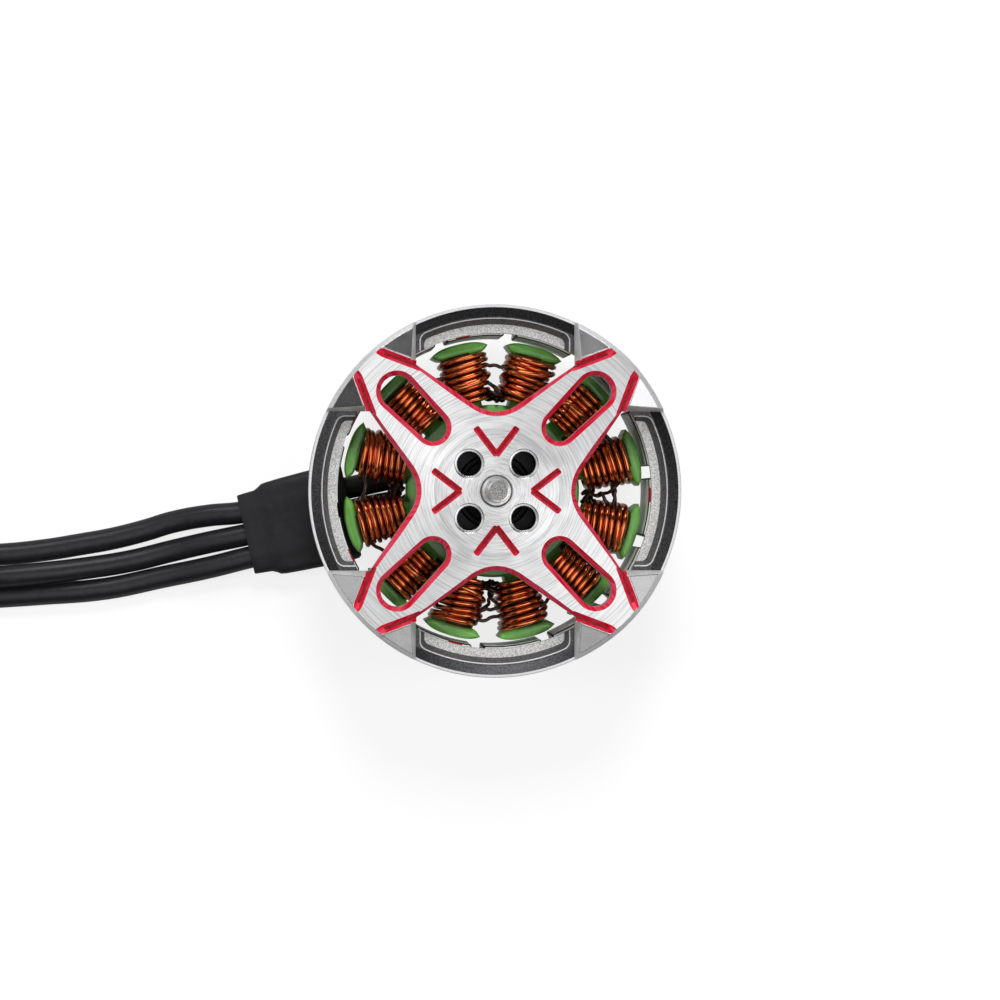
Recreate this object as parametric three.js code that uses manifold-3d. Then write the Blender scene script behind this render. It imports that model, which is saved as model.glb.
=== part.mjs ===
// A brushless outrunner motor for a small propeller: 12 wound teeth inside a bell with 14 magnets.
// Millimetres. The motor stands on its mounting face at z = 0, and +Z runs up the shaft to the propeller.
// The three phase leads leave the base towards -X.
import * as THREE from "three";
import { ConvexGeometry } from "three/addons/geometries/ConvexGeometry.js";
import { mergeVertices } from "three/addons/utils/BufferGeometryUtils.js";
import Module from "manifold-3d";

// Rotor
const ROTOR_RADIUS = 12.2;
const HUB_TOP = 12.6;
const SPIDER_THICKNESS = 1.6;
const RIM_BOTTOM = 9.5;
const RIM_INNER_RADIUS = 10.35;
const RING_INNER_RADIUS = 11.35;
const RING_BOTTOM = 3;
const MAGNET_COUNT = 14;
const MAGNET_INNER_RADIUS = 10.2;
const MAGNET_ARC = THREE.MathUtils.degToRad(21.3);
const MAGNET_PHASE = THREE.MathUtils.degToRad(45.49);
const MAGNET_BOTTOM = 3.4;
const MAGNET_TOP = 9.4;

// Windows, slots and grooves of the bell
const WINDOW_BOTTOM = 5.16;
const WINDOW_HALF_WIDTH = 5.19;
const WINDOW_CORNER_Y = 8.2;
const WINDOW_ROUNDING = 1.5;
const SLOT_INNER = { centre: 5.83, radius: 0.91 };
const SLOT_OUTER = { centre: 9.12, radius: 1.07 };
const EDGE_CHAMFER = 0.3;
const CHEVRON_WIDTH = 0.33;
const TICK_WIDTH = 0.55;

// Propeller interface: four M2 tapped holes on a 5 mm circle around a 1.5 mm pilot
const M2_TAP_RADIUS = 0.8;
const PROP_HOLE_CIRCLE = 5;
const PILOT_RADIUS = 0.75;
const PILOT_TOP = 15.3;
const SHAFT_RADIUS = 1;
const SHAFT_BOTTOM = 0.6;

// Base: four arms with M2 holes on a 12 mm circle
const BASE_THICKNESS = 2;
const BASE_RADIUS = 5.4;
const BASE_HOLE_CIRCLE = 12;
const BASE_ARM_END = { centre: 6.6, radius: 2 };
const TUBE_RADIUS = 3.45;
const TUBE_TOP = 9.35;

// Bearings, 2 x 5 x 2.3
const BEARING_RADIUS = 2.5;
const BEARING_HEIGHT = 2.3;
const BEARING_SEATS = { lower: 2.1, upper: 6.9 };
const BALLS = 7;
const FIT = 0.03;

// Stator
const TEETH = 12;
const TOOTH_PHASE = THREE.MathUtils.degToRad(13.5);
const STATOR_RADIUS = 9.95;
const STATOR_BOTTOM = 4.4;
const STATOR_TOP = 8.4;
const YOKE_RADIUS = 5.7;
const TOOTH_HALF_WIDTH = 0.65;
const TIP_HALF_ARC = THREE.MathUtils.degToRad(11.5);
const COIL = { inner: 5.85, outer: 9.1, innerHalf: 1.2, outerHalf: 1.88, bottom: 3.5, top: 9.4 };

// Phase leads, 26 AWG with silicone insulation, each 150 mm long
const LEAD_RADIUS = 0.75;
const LEAD_PITCH = 1.6;
const SLEEVE_HEADING = THREE.MathUtils.degToRad(193);
const SLEEVE_AXIS = new THREE.Vector2(-11.8, -1.9);
const SLEEVE_Z = 1.3;
const LEAD_COIL = { x: -45.5, y: 2.7, inner: 6.2, outer: 10.9, low: 4.2, high: 5.4 };
const TIE = { width: 2, thickness: 0.3 };
const GAP = 0.3;

const wasm = await Module();
wasm.setup();

// Shape helpers

function toSolid(geometry) {
  const bare = geometry.index ? geometry.toNonIndexed() : geometry.clone();
  bare.deleteAttribute("normal");
  bare.deleteAttribute("uv");
  const merged = mergeVertices(bare, 1e-4);
  return new wasm.Manifold(
    new wasm.Mesh({
      numProp: 3,
      vertProperties: merged.attributes.position.array,
      triVerts: new Uint32Array(merged.index.array),
    }),
  );
}

function toGeometry(solid) {
  const { vertProperties, triVerts } = solid.getMesh();
  const geometry = new THREE.BufferGeometry();
  geometry.setAttribute("position", new THREE.BufferAttribute(vertProperties, 3));
  geometry.setIndex(new THREE.BufferAttribute(triVerts, 1));
  const faceted = geometry.toNonIndexed();
  faceted.computeVertexNormals();
  return faceted;
}

function join(geometries) {
  return geometries.map(toSolid).reduce((sum, next) => sum.add(next));
}

function cut(body, cutters) {
  return toGeometry(toSolid(body).subtract(join(cutters)));
}

// A closed profile of [radius, z] points, counter-clockwise, turned about the Z axis.
function turned(profile, segments = 72) {
  const closed = [...profile, profile[0]].map(([radius, z]) => new THREE.Vector2(radius, z));
  return new THREE.LatheGeometry(closed, segments).rotateX(Math.PI / 2);
}

// A ring with square edges.
function ring(inner, outer, bottom, top, segments = 24) {
  const profile = [
    [inner, bottom],
    [outer, bottom],
    [outer, top],
    [inner, top],
  ];
  return turned(profile, segments);
}

// A flat outline raised from bottom to top.
function raised(shape, bottom, top, curveSegments = 8) {
  const options = { depth: top - bottom, bevelEnabled: false, curveSegments };
  return new THREE.ExtrudeGeometry(shape, options).translate(0, 0, bottom);
}

// A cutter through everything, widened by the chamfer where it meets the top face.
function chamferedCutter(shape, topFace, chamfer) {
  const flare = new THREE.ExtrudeGeometry(shape, {
    depth: 1,
    bevelThickness: chamfer,
    bevelSize: chamfer,
    bevelSegments: 1,
    curveSegments: 8,
  });
  flare.translate(0, 0, topFace);
  return [raised(shape, 0, topFace + 0.5), flare];
}

function polar(radius, angle) {
  return new THREE.Vector2(radius * Math.cos(angle), radius * Math.sin(angle));
}

function turnedBy(geometry, angle) {
  return geometry.clone().rotateZ(angle);
}

// Copies of some geometries at equal angles round the Z axis.
function around(geometries, count, phase = 0) {
  const step = (2 * Math.PI) / count;
  return Array.from({ length: count }, (_, i) =>
    geometries.map((geometry) => turnedBy(geometry, phase + i * step)),
  ).flat();
}

// A V-groove cutter along the top face: a bar on its edge from one point to the other.
function groove(from, to, width) {
  const side = width / Math.SQRT2;
  const along = to.clone().sub(from);
  const bar = new THREE.BoxGeometry(along.length(), side, side);
  bar.rotateX(Math.PI / 4);
  bar.rotateZ(along.angle());
  return bar.translate((from.x + to.x) / 2, (from.y + to.y) / 2, HUB_TOP);
}

// A capsule outline along +X between two rounds of different radius.
function capsule(inner, outer) {
  const lean = Math.acos((inner.radius - outer.radius) / (outer.centre - inner.centre));
  const shape = new THREE.Shape();
  shape.absarc(outer.centre, 0, outer.radius, -lean, lean, false);
  shape.absarc(inner.centre, 0, inner.radius, lean, 2 * Math.PI - lean, false);
  return shape;
}

function tappedHole(circle, radius, bottom, top, chamfer) {
  const profile = [
    [0, bottom - 1],
    [radius, bottom - 1],
    [radius, top - chamfer],
    [radius + 2 * chamfer, top + chamfer],
    [0, top + chamfer],
  ];
  return turned(profile, 20).translate(circle / 2, 0, 0);
}

// Rotor

// One window of the bell, opening towards +Y: a rounded V that widens into two parallel walls.
function windowOutline() {
  const reach = RIM_INNER_RADIUS;
  const shape = new THREE.Shape();
  const wallTop = Math.sqrt(reach ** 2 - WINDOW_HALF_WIDTH ** 2);
  const edgeAngle = Math.atan2(wallTop, WINDOW_HALF_WIDTH);
  shape.moveTo(WINDOW_HALF_WIDTH, wallTop);
  shape.absarc(0, 0, reach, edgeAngle, Math.PI - edgeAngle, false);
  shape.lineTo(-WINDOW_HALF_WIDTH, WINDOW_CORNER_Y);
  shape.lineTo(-WINDOW_ROUNDING, WINDOW_BOTTOM + 0.5);
  shape.quadraticCurveTo(0, WINDOW_BOTTOM - 0.5, WINDOW_ROUNDING, WINDOW_BOTTOM + 0.5);
  shape.lineTo(WINDOW_HALF_WIDTH, WINDOW_CORNER_Y);
  return shape;
}

// What the rim loses in a window: its ledge, the steep step and the band that leans inwards stay.
function rimCutter() {
  const above = turned([
    [RIM_INNER_RADIUS - 0.2, 9.95],
    [11, 9.95],
    [11.4, 10.75],
    [12.08, 11.05],
    [12.3, 10.83],
    [13, 10.83],
    [13, HUB_TOP + 1],
    [RIM_INNER_RADIUS - 0.2, HUB_TOP + 1],
  ]);
  const between = new THREE.BoxGeometry(2 * WINDOW_HALF_WIDTH, 8, 8).translate(0, 12, 11);
  return toGeometry(toSolid(above).intersect(toSolid(between)));
}

// The facet beside a window wall, which falls from the tick groove towards the rim.
function facetCutter() {
  const plan = [
    [4.7, 7.85, 12.42],
    [8.35, 9.3, 12.42],
    [4.7, 12.3, 11.3],
  ];
  const points = plan.flatMap(([x, y, z]) => [
    new THREE.Vector3(x, y, z),
    new THREE.Vector3(x, y, HUB_TOP + 0.5),
  ]);
  return new ConvexGeometry(points);
}

function mirroredX(geometry) {
  const source = toSolid(geometry).mirror([1, 0, 0]);
  return toGeometry(source);
}

function bell() {
  const spiderBottom = HUB_TOP - SPIDER_THICKNESS;
  const blank = turned([
    [SHAFT_RADIUS + FIT, 10.4],
    [4, 10.4],
    [4.6, spiderBottom],
    [RIM_INNER_RADIUS, spiderBottom],
    [RIM_INNER_RADIUS, RIM_BOTTOM],
    [ROTOR_RADIUS, RIM_BOTTOM],
    [ROTOR_RADIUS, HUB_TOP - 0.15],
    [ROTOR_RADIUS - 0.15, HUB_TOP],
    [SHAFT_RADIUS + FIT, HUB_TOP],
  ]);
  const chevronTip = new THREE.Vector2(0, 2.36);
  const tickStart = new THREE.Vector2(4.74, 7.98);
  const tickEnd = new THREE.Vector2(7.85, 9.15);
  const facet = facetCutter();
  const perWindow = [
    ...chamferedCutter(windowOutline(), HUB_TOP, EDGE_CHAMFER),
    rimCutter(),
    facet,
    mirroredX(facet),
    groove(tickStart, tickEnd, TICK_WIDTH),
    groove(new THREE.Vector2(-tickStart.x, tickStart.y), new THREE.Vector2(-tickEnd.x, tickEnd.y), TICK_WIDTH),
    groove(chevronTip, new THREE.Vector2(1.33, 4.09), CHEVRON_WIDTH),
    groove(chevronTip, new THREE.Vector2(-1.33, 4.09), CHEVRON_WIDTH),
  ];
  const perArm = [
    ...chamferedCutter(capsule(SLOT_INNER, SLOT_OUTER), HUB_TOP, EDGE_CHAMFER),
    tappedHole(PROP_HOLE_CIRCLE, M2_TAP_RADIUS, 10.4, HUB_TOP, 0.18),
  ];
  return cut(blank, [...around(perWindow, 4), ...around(perArm, 4, Math.PI / 4)]);
}

function fluxRing() {
  return turned([
    [RING_INNER_RADIUS, RING_BOTTOM],
    [ROTOR_RADIUS - 0.2, RING_BOTTOM],
    [ROTOR_RADIUS, RING_BOTTOM + 0.2],
    [ROTOR_RADIUS, RIM_BOTTOM - 0.05],
    [RING_INNER_RADIUS, RIM_BOTTOM - 0.05],
  ]);
}

function magnet(angle) {
  const shape = new THREE.Shape();
  const half = MAGNET_ARC / 2;
  shape.absarc(0, 0, RING_INNER_RADIUS - 0.05, angle - half, angle + half, false);
  shape.absarc(0, 0, MAGNET_INNER_RADIUS, angle + half, angle - half, true);
  return raised(shape, MAGNET_BOTTOM, MAGNET_TOP, 5);
}

function shaft() {
  const grooveTop = 1.7;
  return turned(
    [
      [0, SHAFT_BOTTOM],
      [SHAFT_RADIUS - 0.15, SHAFT_BOTTOM],
      [SHAFT_RADIUS, SHAFT_BOTTOM + 0.15],
      [SHAFT_RADIUS, grooveTop - 0.35],
      [SHAFT_RADIUS - 0.25, grooveTop - 0.35],
      [SHAFT_RADIUS - 0.25, grooveTop],
      [SHAFT_RADIUS, grooveTop],
      [SHAFT_RADIUS, HUB_TOP - 0.1],
      [PILOT_RADIUS, HUB_TOP],
      [PILOT_RADIUS, PILOT_TOP - 0.18],
      [PILOT_RADIUS - 0.18, PILOT_TOP],
      [0, PILOT_TOP],
    ],
    24,
  );
}

function circlip() {
  const shape = new THREE.Shape();
  const mouth = 0.45;
  shape.absarc(0, 0, 1.6, mouth, 2 * Math.PI - mouth, false);
  shape.absarc(0, 0, SHAFT_RADIUS - 0.2, 2 * Math.PI - mouth, mouth, true);
  return raised(shape, 1.4, 1.65, 12);
}

// Bearings

function innerRace(seat) {
  return ring(SHAFT_RADIUS + FIT, 1.5, seat, seat + BEARING_HEIGHT);
}

function outerRace(seat) {
  return ring(2.15, BEARING_RADIUS - FIT, seat, seat + BEARING_HEIGHT);
}

function shield(bottom) {
  return ring(1.56, 2.1, bottom, bottom + 0.12);
}

// The crown that holds the balls, with the balls in it.
function ballCage(seat) {
  const pitch = (1.5 + 2.15) / 2;
  const middle = seat + BEARING_HEIGHT / 2;
  const crown = ring(pitch - 0.1, pitch + 0.1, middle - 0.3, middle + 0.3, 14);
  const ball = new THREE.IcosahedronGeometry(0.29, 0).translate(pitch, 0, middle);
  return toGeometry(join([crown, ...around([ball], BALLS)]));
}

// Stator

function base() {
  const seat = TUBE_RADIUS - 0.9;
  const hub = turned(
    [
      [1.9, 0],
      [BASE_RADIUS - 0.2, 0],
      [BASE_RADIUS, 0.2],
      [BASE_RADIUS, BASE_THICKNESS - 0.2],
      [BASE_RADIUS - 0.2, BASE_THICKNESS],
      [TUBE_RADIUS, BASE_THICKNESS],
      [TUBE_RADIUS, TUBE_TOP - 0.15],
      [TUBE_RADIUS - 0.15, TUBE_TOP],
      [seat, TUBE_TOP],
      [seat, BEARING_SEATS.upper - 0.05],
      [2, BEARING_SEATS.upper - 0.05],
      [2, BEARING_SEATS.lower + BEARING_HEIGHT + 0.05],
      [seat, BEARING_SEATS.lower + BEARING_HEIGHT + 0.05],
      [seat, BEARING_SEATS.lower - 0.05],
      [1.9, BEARING_SEATS.lower - 0.05],
    ],
    36,
  );
  const arm = raised(capsule({ centre: 4.4, radius: 2.2 }, BASE_ARM_END), 0, BASE_THICKNESS);
  const body = toGeometry(join([hub, ...around([arm], 4, Math.PI / 4)]));
  const hole = tappedHole(BASE_HOLE_CIRCLE, M2_TAP_RADIUS, 0, BASE_THICKNESS, 0.15);
  return cut(body, around([hole], 4, Math.PI / 4));
}

// Laminations with their epoxy coating: a yoke, twelve teeth and their lens-shaped tips.
function statorCore() {
  const shape = new THREE.Shape();
  for (let i = 0; i < TEETH; i += 1) {
    const angle = TOOTH_PHASE + (i * 2 * Math.PI) / TEETH;
    const rootHalf = Math.asin(TOOTH_HALF_WIDTH / YOKE_RADIUS);
    const neckHalf = Math.asin(TOOTH_HALF_WIDTH / 9.2);
    const corners = [
      polar(YOKE_RADIUS, angle - rootHalf),
      polar(9.2, angle - neckHalf),
      polar(9.5, angle - TIP_HALF_ARC),
      polar(9.75, angle - TIP_HALF_ARC * 0.98),
      polar(STATOR_RADIUS, angle - TIP_HALF_ARC * 0.6),
      polar(STATOR_RADIUS, angle),
      polar(STATOR_RADIUS, angle + TIP_HALF_ARC * 0.6),
      polar(9.75, angle + TIP_HALF_ARC * 0.98),
      polar(9.5, angle + TIP_HALF_ARC),
      polar(9.2, angle + neckHalf),
      polar(YOKE_RADIUS, angle + rootHalf),
    ];
    corners.forEach((point, k) => {
      if (i === 0 && k === 0) shape.moveTo(point.x, point.y);
      else shape.lineTo(point.x, point.y);
    });
  }
  const bore = new THREE.Path();
  bore.absarc(0, 0, TUBE_RADIUS + 0.1, 0, 2 * Math.PI, true);
  shape.holes.push(bore);
  return raised(shape, STATOR_BOTTOM, STATOR_TOP, 36);
}

// A winding round one tooth, narrower towards the yoke, with a passage for the tooth.
function winding(angle) {
  const rounding = 0.5;
  const shape = new THREE.Shape();
  shape.moveTo(COIL.inner, -COIL.innerHalf);
  shape.lineTo(COIL.outer, -COIL.outerHalf);
  shape.lineTo(COIL.outer, COIL.outerHalf);
  shape.lineTo(COIL.inner, COIL.innerHalf);
  shape.closePath();
  const block = new THREE.ExtrudeGeometry(shape, {
    depth: COIL.top - COIL.bottom - 2 * rounding,
    bevelThickness: rounding,
    bevelSize: 0.35,
    bevelOffset: -0.35,
    bevelSegments: 1,
  });
  block.translate(0, 0, COIL.bottom + rounding);
  const slack = 0.1;
  const tooth = new THREE.BoxGeometry(8, 2 * (TOOTH_HALF_WIDTH + slack), STATOR_TOP - STATOR_BOTTOM + 2 * slack);
  tooth.translate((COIL.inner + COIL.outer) / 2, 0, (STATOR_BOTTOM + STATOR_TOP) / 2);
  return turnedBy(cut(block, [tooth]), angle);
}

// Leads

// A point beside the sleeve's axis: along it from the rim outwards, and across it.
function sleevePoint(along, across) {
  const heading = polar(1, SLEEVE_HEADING);
  const side = polar(1, SLEEVE_HEADING - Math.PI / 2);
  return SLEEVE_AXIS.clone().addScaledVector(heading, along).addScaledVector(side, across);
}

// Shrink sleeve round the three leads: it narrows in a step before its outer end.
function leadSleeve() {
  const rounding = 0.7;
  const outline = [
    [-2.6, 3.3],
    [2.9, 3.15],
    [3.5, 2.8],
    [4.7, 2.75],
    [4.7, -2.75],
    [3.5, -2.8],
    [2.9, -3.15],
    [-2.6, -3.3],
  ];
  const shape = new THREE.Shape(outline.map(([along, across]) => sleevePoint(along, across)));
  const skin = new THREE.ExtrudeGeometry(shape, {
    depth: 2.1 - 2 * rounding,
    bevelThickness: rounding,
    bevelSize: rounding,
    bevelOffset: -rounding,
    bevelSegments: 3,
  });
  skin.translate(0, 0, SLEEVE_Z - 2.1 / 2 + rounding);
  const passage = new THREE.BoxGeometry(12, 2 * LEAD_PITCH + 2 * LEAD_RADIUS + 0.12, 2 * LEAD_RADIUS + 0.08);
  passage.rotateZ(SLEEVE_HEADING);
  const middle = sleevePoint(1, 0);
  passage.translate(middle.x, middle.y, SLEEVE_Z);
  return cut(skin, [passage]);
}

// A lead from its splice under the windings, through the sleeve, to where it meets its coil.
function lead(points, steps) {
  const section = new THREE.Shape();
  for (let i = 0; i < 8; i += 1) {
    const corner = polar(LEAD_RADIUS, ((i + 0.5) * Math.PI) / 4);
    if (i === 0) section.moveTo(corner.x, corner.y);
    else section.lineTo(corner.x, corner.y);
  }
  const path = new THREE.CatmullRomCurve3(points.map((point) => new THREE.Vector3(...point)));
  return new THREE.ExtrudeGeometry(section, { steps, extrudePath: path, bevelEnabled: false });
}

// Route points of a lead inside the sleeve, where the three run side by side.
function insideSleeve(across) {
  return [-2.4, 0, 2.4, 4.7].map((along) => {
    const point = sleevePoint(along, across);
    return [point.x, point.y, SLEEVE_Z];
  });
}

const LEAD_ROUTES = {
  lead_a: [
    [-6.2, 0.95, 2.45],
    [-7.6, 0.62, 2.1],
    ...insideSleeve(LEAD_PITCH),
    [-18.9, -1.66, 1.15],
    [-21.4, -2.12, 0.85],
    [-23.1, -2.64, 0.77],
    [-25.3, -3.2, 0.76],
    [-27.5, -3.6, 0.76],
    [-30, -4, 0.76],
    [-33.1, -4.45, 0.76],
    [-36.8, -4.4, 0.76],
  ],
  lead_b: [
    [-6.2, -0.7, 2.45],
    [-7.6, -0.95, 2.1],
    ...insideSleeve(0),
    [-19, -3.5, 1.15],
    [-21.4, -4.06, 0.85],
    [-24.2, -4.74, 0.9],
    [-27.5, -5.25, 1.2],
    [-30.2, -5.55, 1.5],
    [-33.1, -5.8, 1.66],
    [-35.5, -5.9, 1.5],
    [-38.1, -5.95, 1.2],
  ],
  lead_c: [
    [-6.2, -2.35, 2.45],
    [-7.6, -2.52, 2.1],
    ...insideSleeve(-LEAD_PITCH),
    [-19, -5.2, 1.1],
    [-21.9, -5.8, 0.8],
    [-25.8, -6.6, 0.76],
    [-30.3, -6.97, 0.76],
    [-33.1, -7.15, 0.76],
    [-36.5, -7.35, 0.76],
    [-40.2, -7.45, 0.76],
  ],
};

// Soldered joint between a lead and its winding tails, inside the motor.
function splice([x, y, z]) {
  const length = 1.2;
  const profile = [
    [0, 0],
    [0.35, 0],
    [0.5, 0.2],
    [0.5, length - 0.2],
    [0.35, length],
    [0, length],
  ];
  return turned(profile, 12).rotateY(Math.PI / 2).translate(x + GAP, y, z + 0.15);
}

// The rest of the three leads, wound together. It is notched where the tie passes under it.
function leadCoil() {
  const body = turned(
    [
      [LEAD_COIL.inner, 0],
      [LEAD_COIL.outer, 0],
      [LEAD_COIL.outer, LEAD_COIL.low],
      [LEAD_COIL.inner + 1.6, LEAD_COIL.high],
      [LEAD_COIL.inner, LEAD_COIL.high],
    ],
    48,
  );
  const notch = new THREE.BoxGeometry(8, TIE.width + 2 * GAP, 2 * (TIE.thickness + GAP));
  notch.translate(-(LEAD_COIL.inner + LEAD_COIL.outer) / 2, 0, 0);
  return cut(body, [notch]).translate(LEAD_COIL.x, LEAD_COIL.y, 0);
}

function rectangle(left, right, bottom, top) {
  return [
    new THREE.Vector2(left, bottom),
    new THREE.Vector2(right, bottom),
    new THREE.Vector2(right, top),
    new THREE.Vector2(left, top),
  ];
}

// A narrow strap round the coil's section, with its lock on top.
function coilTie() {
  const left = -LEAD_COIL.outer - GAP;
  const right = -LEAD_COIL.inner + GAP;
  const top = LEAD_COIL.high + GAP;
  const wall = TIE.thickness;
  const shape = new THREE.Shape(rectangle(left - wall, right + wall, 0, top + wall));
  shape.holes.push(new THREE.Path(rectangle(left, right, wall, top).reverse()));
  const strap = raised(shape, -TIE.width / 2, TIE.width / 2).rotateX(Math.PI / 2);
  const lock = new THREE.BoxGeometry(2.4, TIE.width + 0.8, 1).translate(-8, 0, top + wall + 0.3);
  return toGeometry(join([strap, lock])).translate(LEAD_COIL.x, LEAD_COIL.y, 0);
}

// Assembly

const MATERIALS = {
  bell: { color: 0xd9dadd, roughness: 0.32, metalness: 1 },
  ring: { color: 0x9a9b9f, roughness: 0.4, metalness: 1 },
  magnet: { color: 0x8e8e90, roughness: 0.25, metalness: 1 },
  steel: { color: 0xb4b4b4, roughness: 0.25, metalness: 1 },
  cage: { color: 0xa98c52, roughness: 0.4, metalness: 1 },
  base: { color: 0x2a2a2d, roughness: 0.45, metalness: 1 },
  epoxy: { color: 0x4c9a3f, roughness: 0.35, metalness: 0 },
  copper: { color: 0xc46a33, roughness: 0.25, metalness: 1 },
  solder: { color: 0xc9c9cc, roughness: 0.35, metalness: 1 },
  sleeve: { color: 0x1f1f21, roughness: 0.6, metalness: 0 },
  silicone: { color: 0x232325, roughness: 0.45, metalness: 0 },
  tie: { color: 0x1a1a1b, roughness: 0.5, metalness: 0 },
};

function add(group, name, geometry, finish) {
  const mesh = new THREE.Mesh(geometry, new THREE.MeshStandardMaterial(MATERIALS[finish]));
  mesh.name = name;
  group.add(mesh);
}

function numbered(prefix, index) {
  return `${prefix}_${String(index + 1).padStart(2, "0")}`;
}

const rotor = new THREE.Group();
add(rotor, "bell", bell(), "bell");
add(rotor, "flux_ring", fluxRing(), "ring");
for (let i = 0; i < MAGNET_COUNT; i += 1) {
  const angle = MAGNET_PHASE + (i * 2 * Math.PI) / MAGNET_COUNT;
  add(rotor, numbered("magnet", i), magnet(angle), "magnet");
}
add(rotor, "shaft", shaft(), "steel");
add(rotor, "shaft_circlip", circlip(), "steel");
add(rotor, "shaft_washer", ring(SHAFT_RADIUS + FIT, 1.5, 1.75, 2), "steel");
add(rotor, "hub_spacer", ring(SHAFT_RADIUS + FIT, 1.5, 9.3, 10.3), "cage");

const stator = new THREE.Group();
add(stator, "motor_base", base(), "base");
add(stator, "stator_core", statorCore(), "epoxy");
for (let i = 0; i < TEETH; i += 1) {
  const angle = TOOTH_PHASE + (i * 2 * Math.PI) / TEETH;
  add(stator, numbered("winding", i), winding(angle), "copper");
}
for (const [place, seat] of Object.entries(BEARING_SEATS)) {
  add(rotor, `bearing_${place}_inner_race`, innerRace(seat), "steel");
  add(stator, `bearing_${place}_outer_race`, outerRace(seat), "steel");
  add(stator, `bearing_${place}_ball_cage`, ballCage(seat), "cage");
  add(stator, `bearing_${place}_shield_bottom`, shield(seat + 0.05), "steel");
  add(stator, `bearing_${place}_shield_top`, shield(seat + BEARING_HEIGHT - 0.17), "steel");
}
add(stator, "lead_sleeve", leadSleeve(), "sleeve");
for (const [name, route] of Object.entries(LEAD_ROUTES)) {
  add(stator, name, lead(route, 20), "silicone");
  add(stator, name.replace("lead", "splice"), splice(route[0]), "solder");
}
add(stator, "lead_coil", leadCoil(), "silicone");
add(stator, "lead_coil_tie", coilTie(), "tie");

const motor = new THREE.Group();
motor.add(rotor, stator);
export default motor;
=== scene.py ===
"""A brushless outrunner motor for a small propeller, standing on a pale floor with its leads to one side.

Shapes are worked out in millimetres and turned into metres when they become pieces.
"""

import random
from functools import reduce
from math import acos, ceil, copysign, cos, pi, radians, sin, sqrt, tan, tau

import bmesh
import bpy
from mathutils import Matrix, Vector, noise
from mathutils.geometry import convex_hull_2d


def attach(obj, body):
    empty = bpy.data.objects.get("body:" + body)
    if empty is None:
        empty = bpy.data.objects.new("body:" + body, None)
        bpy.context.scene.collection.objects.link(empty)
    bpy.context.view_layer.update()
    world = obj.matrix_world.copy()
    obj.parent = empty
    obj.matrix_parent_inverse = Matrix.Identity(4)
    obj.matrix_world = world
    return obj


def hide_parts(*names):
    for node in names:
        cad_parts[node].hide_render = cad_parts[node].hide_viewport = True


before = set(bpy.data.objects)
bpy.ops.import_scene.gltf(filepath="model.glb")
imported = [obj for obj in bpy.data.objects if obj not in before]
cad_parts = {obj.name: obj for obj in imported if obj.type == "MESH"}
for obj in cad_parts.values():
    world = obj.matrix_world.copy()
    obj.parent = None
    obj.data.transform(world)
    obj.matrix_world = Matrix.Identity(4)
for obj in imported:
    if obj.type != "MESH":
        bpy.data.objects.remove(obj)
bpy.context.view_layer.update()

MM = 0.001
MICRON = 0.000001
UP = Vector((0, 0, 1))

# Rotor
ROTOR_RADIUS = 12.2
HUB_TOP = 12.6
SPIDER_BOTTOM = 11.0
RIM_BOTTOM = 9.5
RIM_INNER = 10.35
RING_INNER = 11.35
RING_BOTTOM = 3.0
MAGNETS = 14
MAGNET_INNER = 10.2
MAGNET_HALF_ARC = radians(21.3) / 2
MAGNET_PHASE = radians(45.49)
SHAFT_RADIUS = 1.0
PILOT_RADIUS = 0.75
PILOT_TOP = 15.3

# Bell windows: half the width, where the V ends, and half the width and place of the bend at the V's root
WINDOW_HALF = 5.19
CORNER_Y = 8.2
BEND_HALF = 1.5
BEND_Y = 5.66
CHAMFER = 0.3
# Heights of the pocket's floor and lip, three corners of a facet, and where an arm's end slopes off
LEDGE = 9.95
LIP = 10.7
FACET = [Vector(p) for p in ((4.6, 8.3, 12.42), (8.25, 9.62, 12.42), (4.6, 12.6, 11.25))]
EDGE_RADIUS = 11.92

# Stator
TEETH = 12
TOOTH_PHASE = radians(13.5)
YOKE_RADIUS = 5.7
TUBE_RADIUS = 3.45
STATOR_LOW, STATOR_HIGH = 4.4, 8.4
COIL_INNER, COIL_OUTER = 5.85, 9.1
COIL_LOW, COIL_HIGH = 3.5, 9.4
WIRE_RADIUS = 0.165
WIRE_PITCH = 0.395
TAIL_RADIUS = 0.12

# Leads; REST is the height of a lead's axis where it lies on the floor
LEAD_RADIUS = 0.75
LEAD_LENGTH = 150.0
LEAD_PITCH = 1.54
REST = 0.76
SLEEVE_HEADING = radians(193)
SLEEVE_AXIS = Vector((-11.8, -1.9, 0))
SLEEVE_Z = 1.3
COIL_CENTRE = Vector((-45.5, 2.7, 0))
LAYER_RISE = 1.55


def put(name, data):
    """A new object in the scene."""
    thing = bpy.data.objects.new(name, data)
    bpy.context.scene.collection.objects.link(thing)
    return thing


# ---------------------------------------------------------------- camera

TILT = radians(3.0)
CAMERA_DISTANCE = 0.25
FIELD = 0.0649
SENSOR = 36.0


def make_camera():
    data = bpy.data.cameras.new("camera")
    data.sensor_width = SENSOR
    data.lens = SENSOR * CAMERA_DISTANCE / FIELD
    data.shift_x, data.shift_y = 0.0035, -0.009
    data.clip_start, data.clip_end = 0.01, 10
    camera = put("camera", data)
    back = Vector((-sin(TILT), 0, cos(TILT)))
    right = Vector((cos(TILT), 0, sin(TILT)))
    turn = Matrix((right, Vector((0, 1, 0)), back)).transposed()
    hub = Vector((0, 0, HUB_TOP * MM))
    camera.matrix_world = Matrix.Translation(hub + CAMERA_DISTANCE * back) @ turn.to_4x4()
    bpy.context.scene.camera = camera


make_camera()


# ---------------------------------------------------------------- materials


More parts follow.
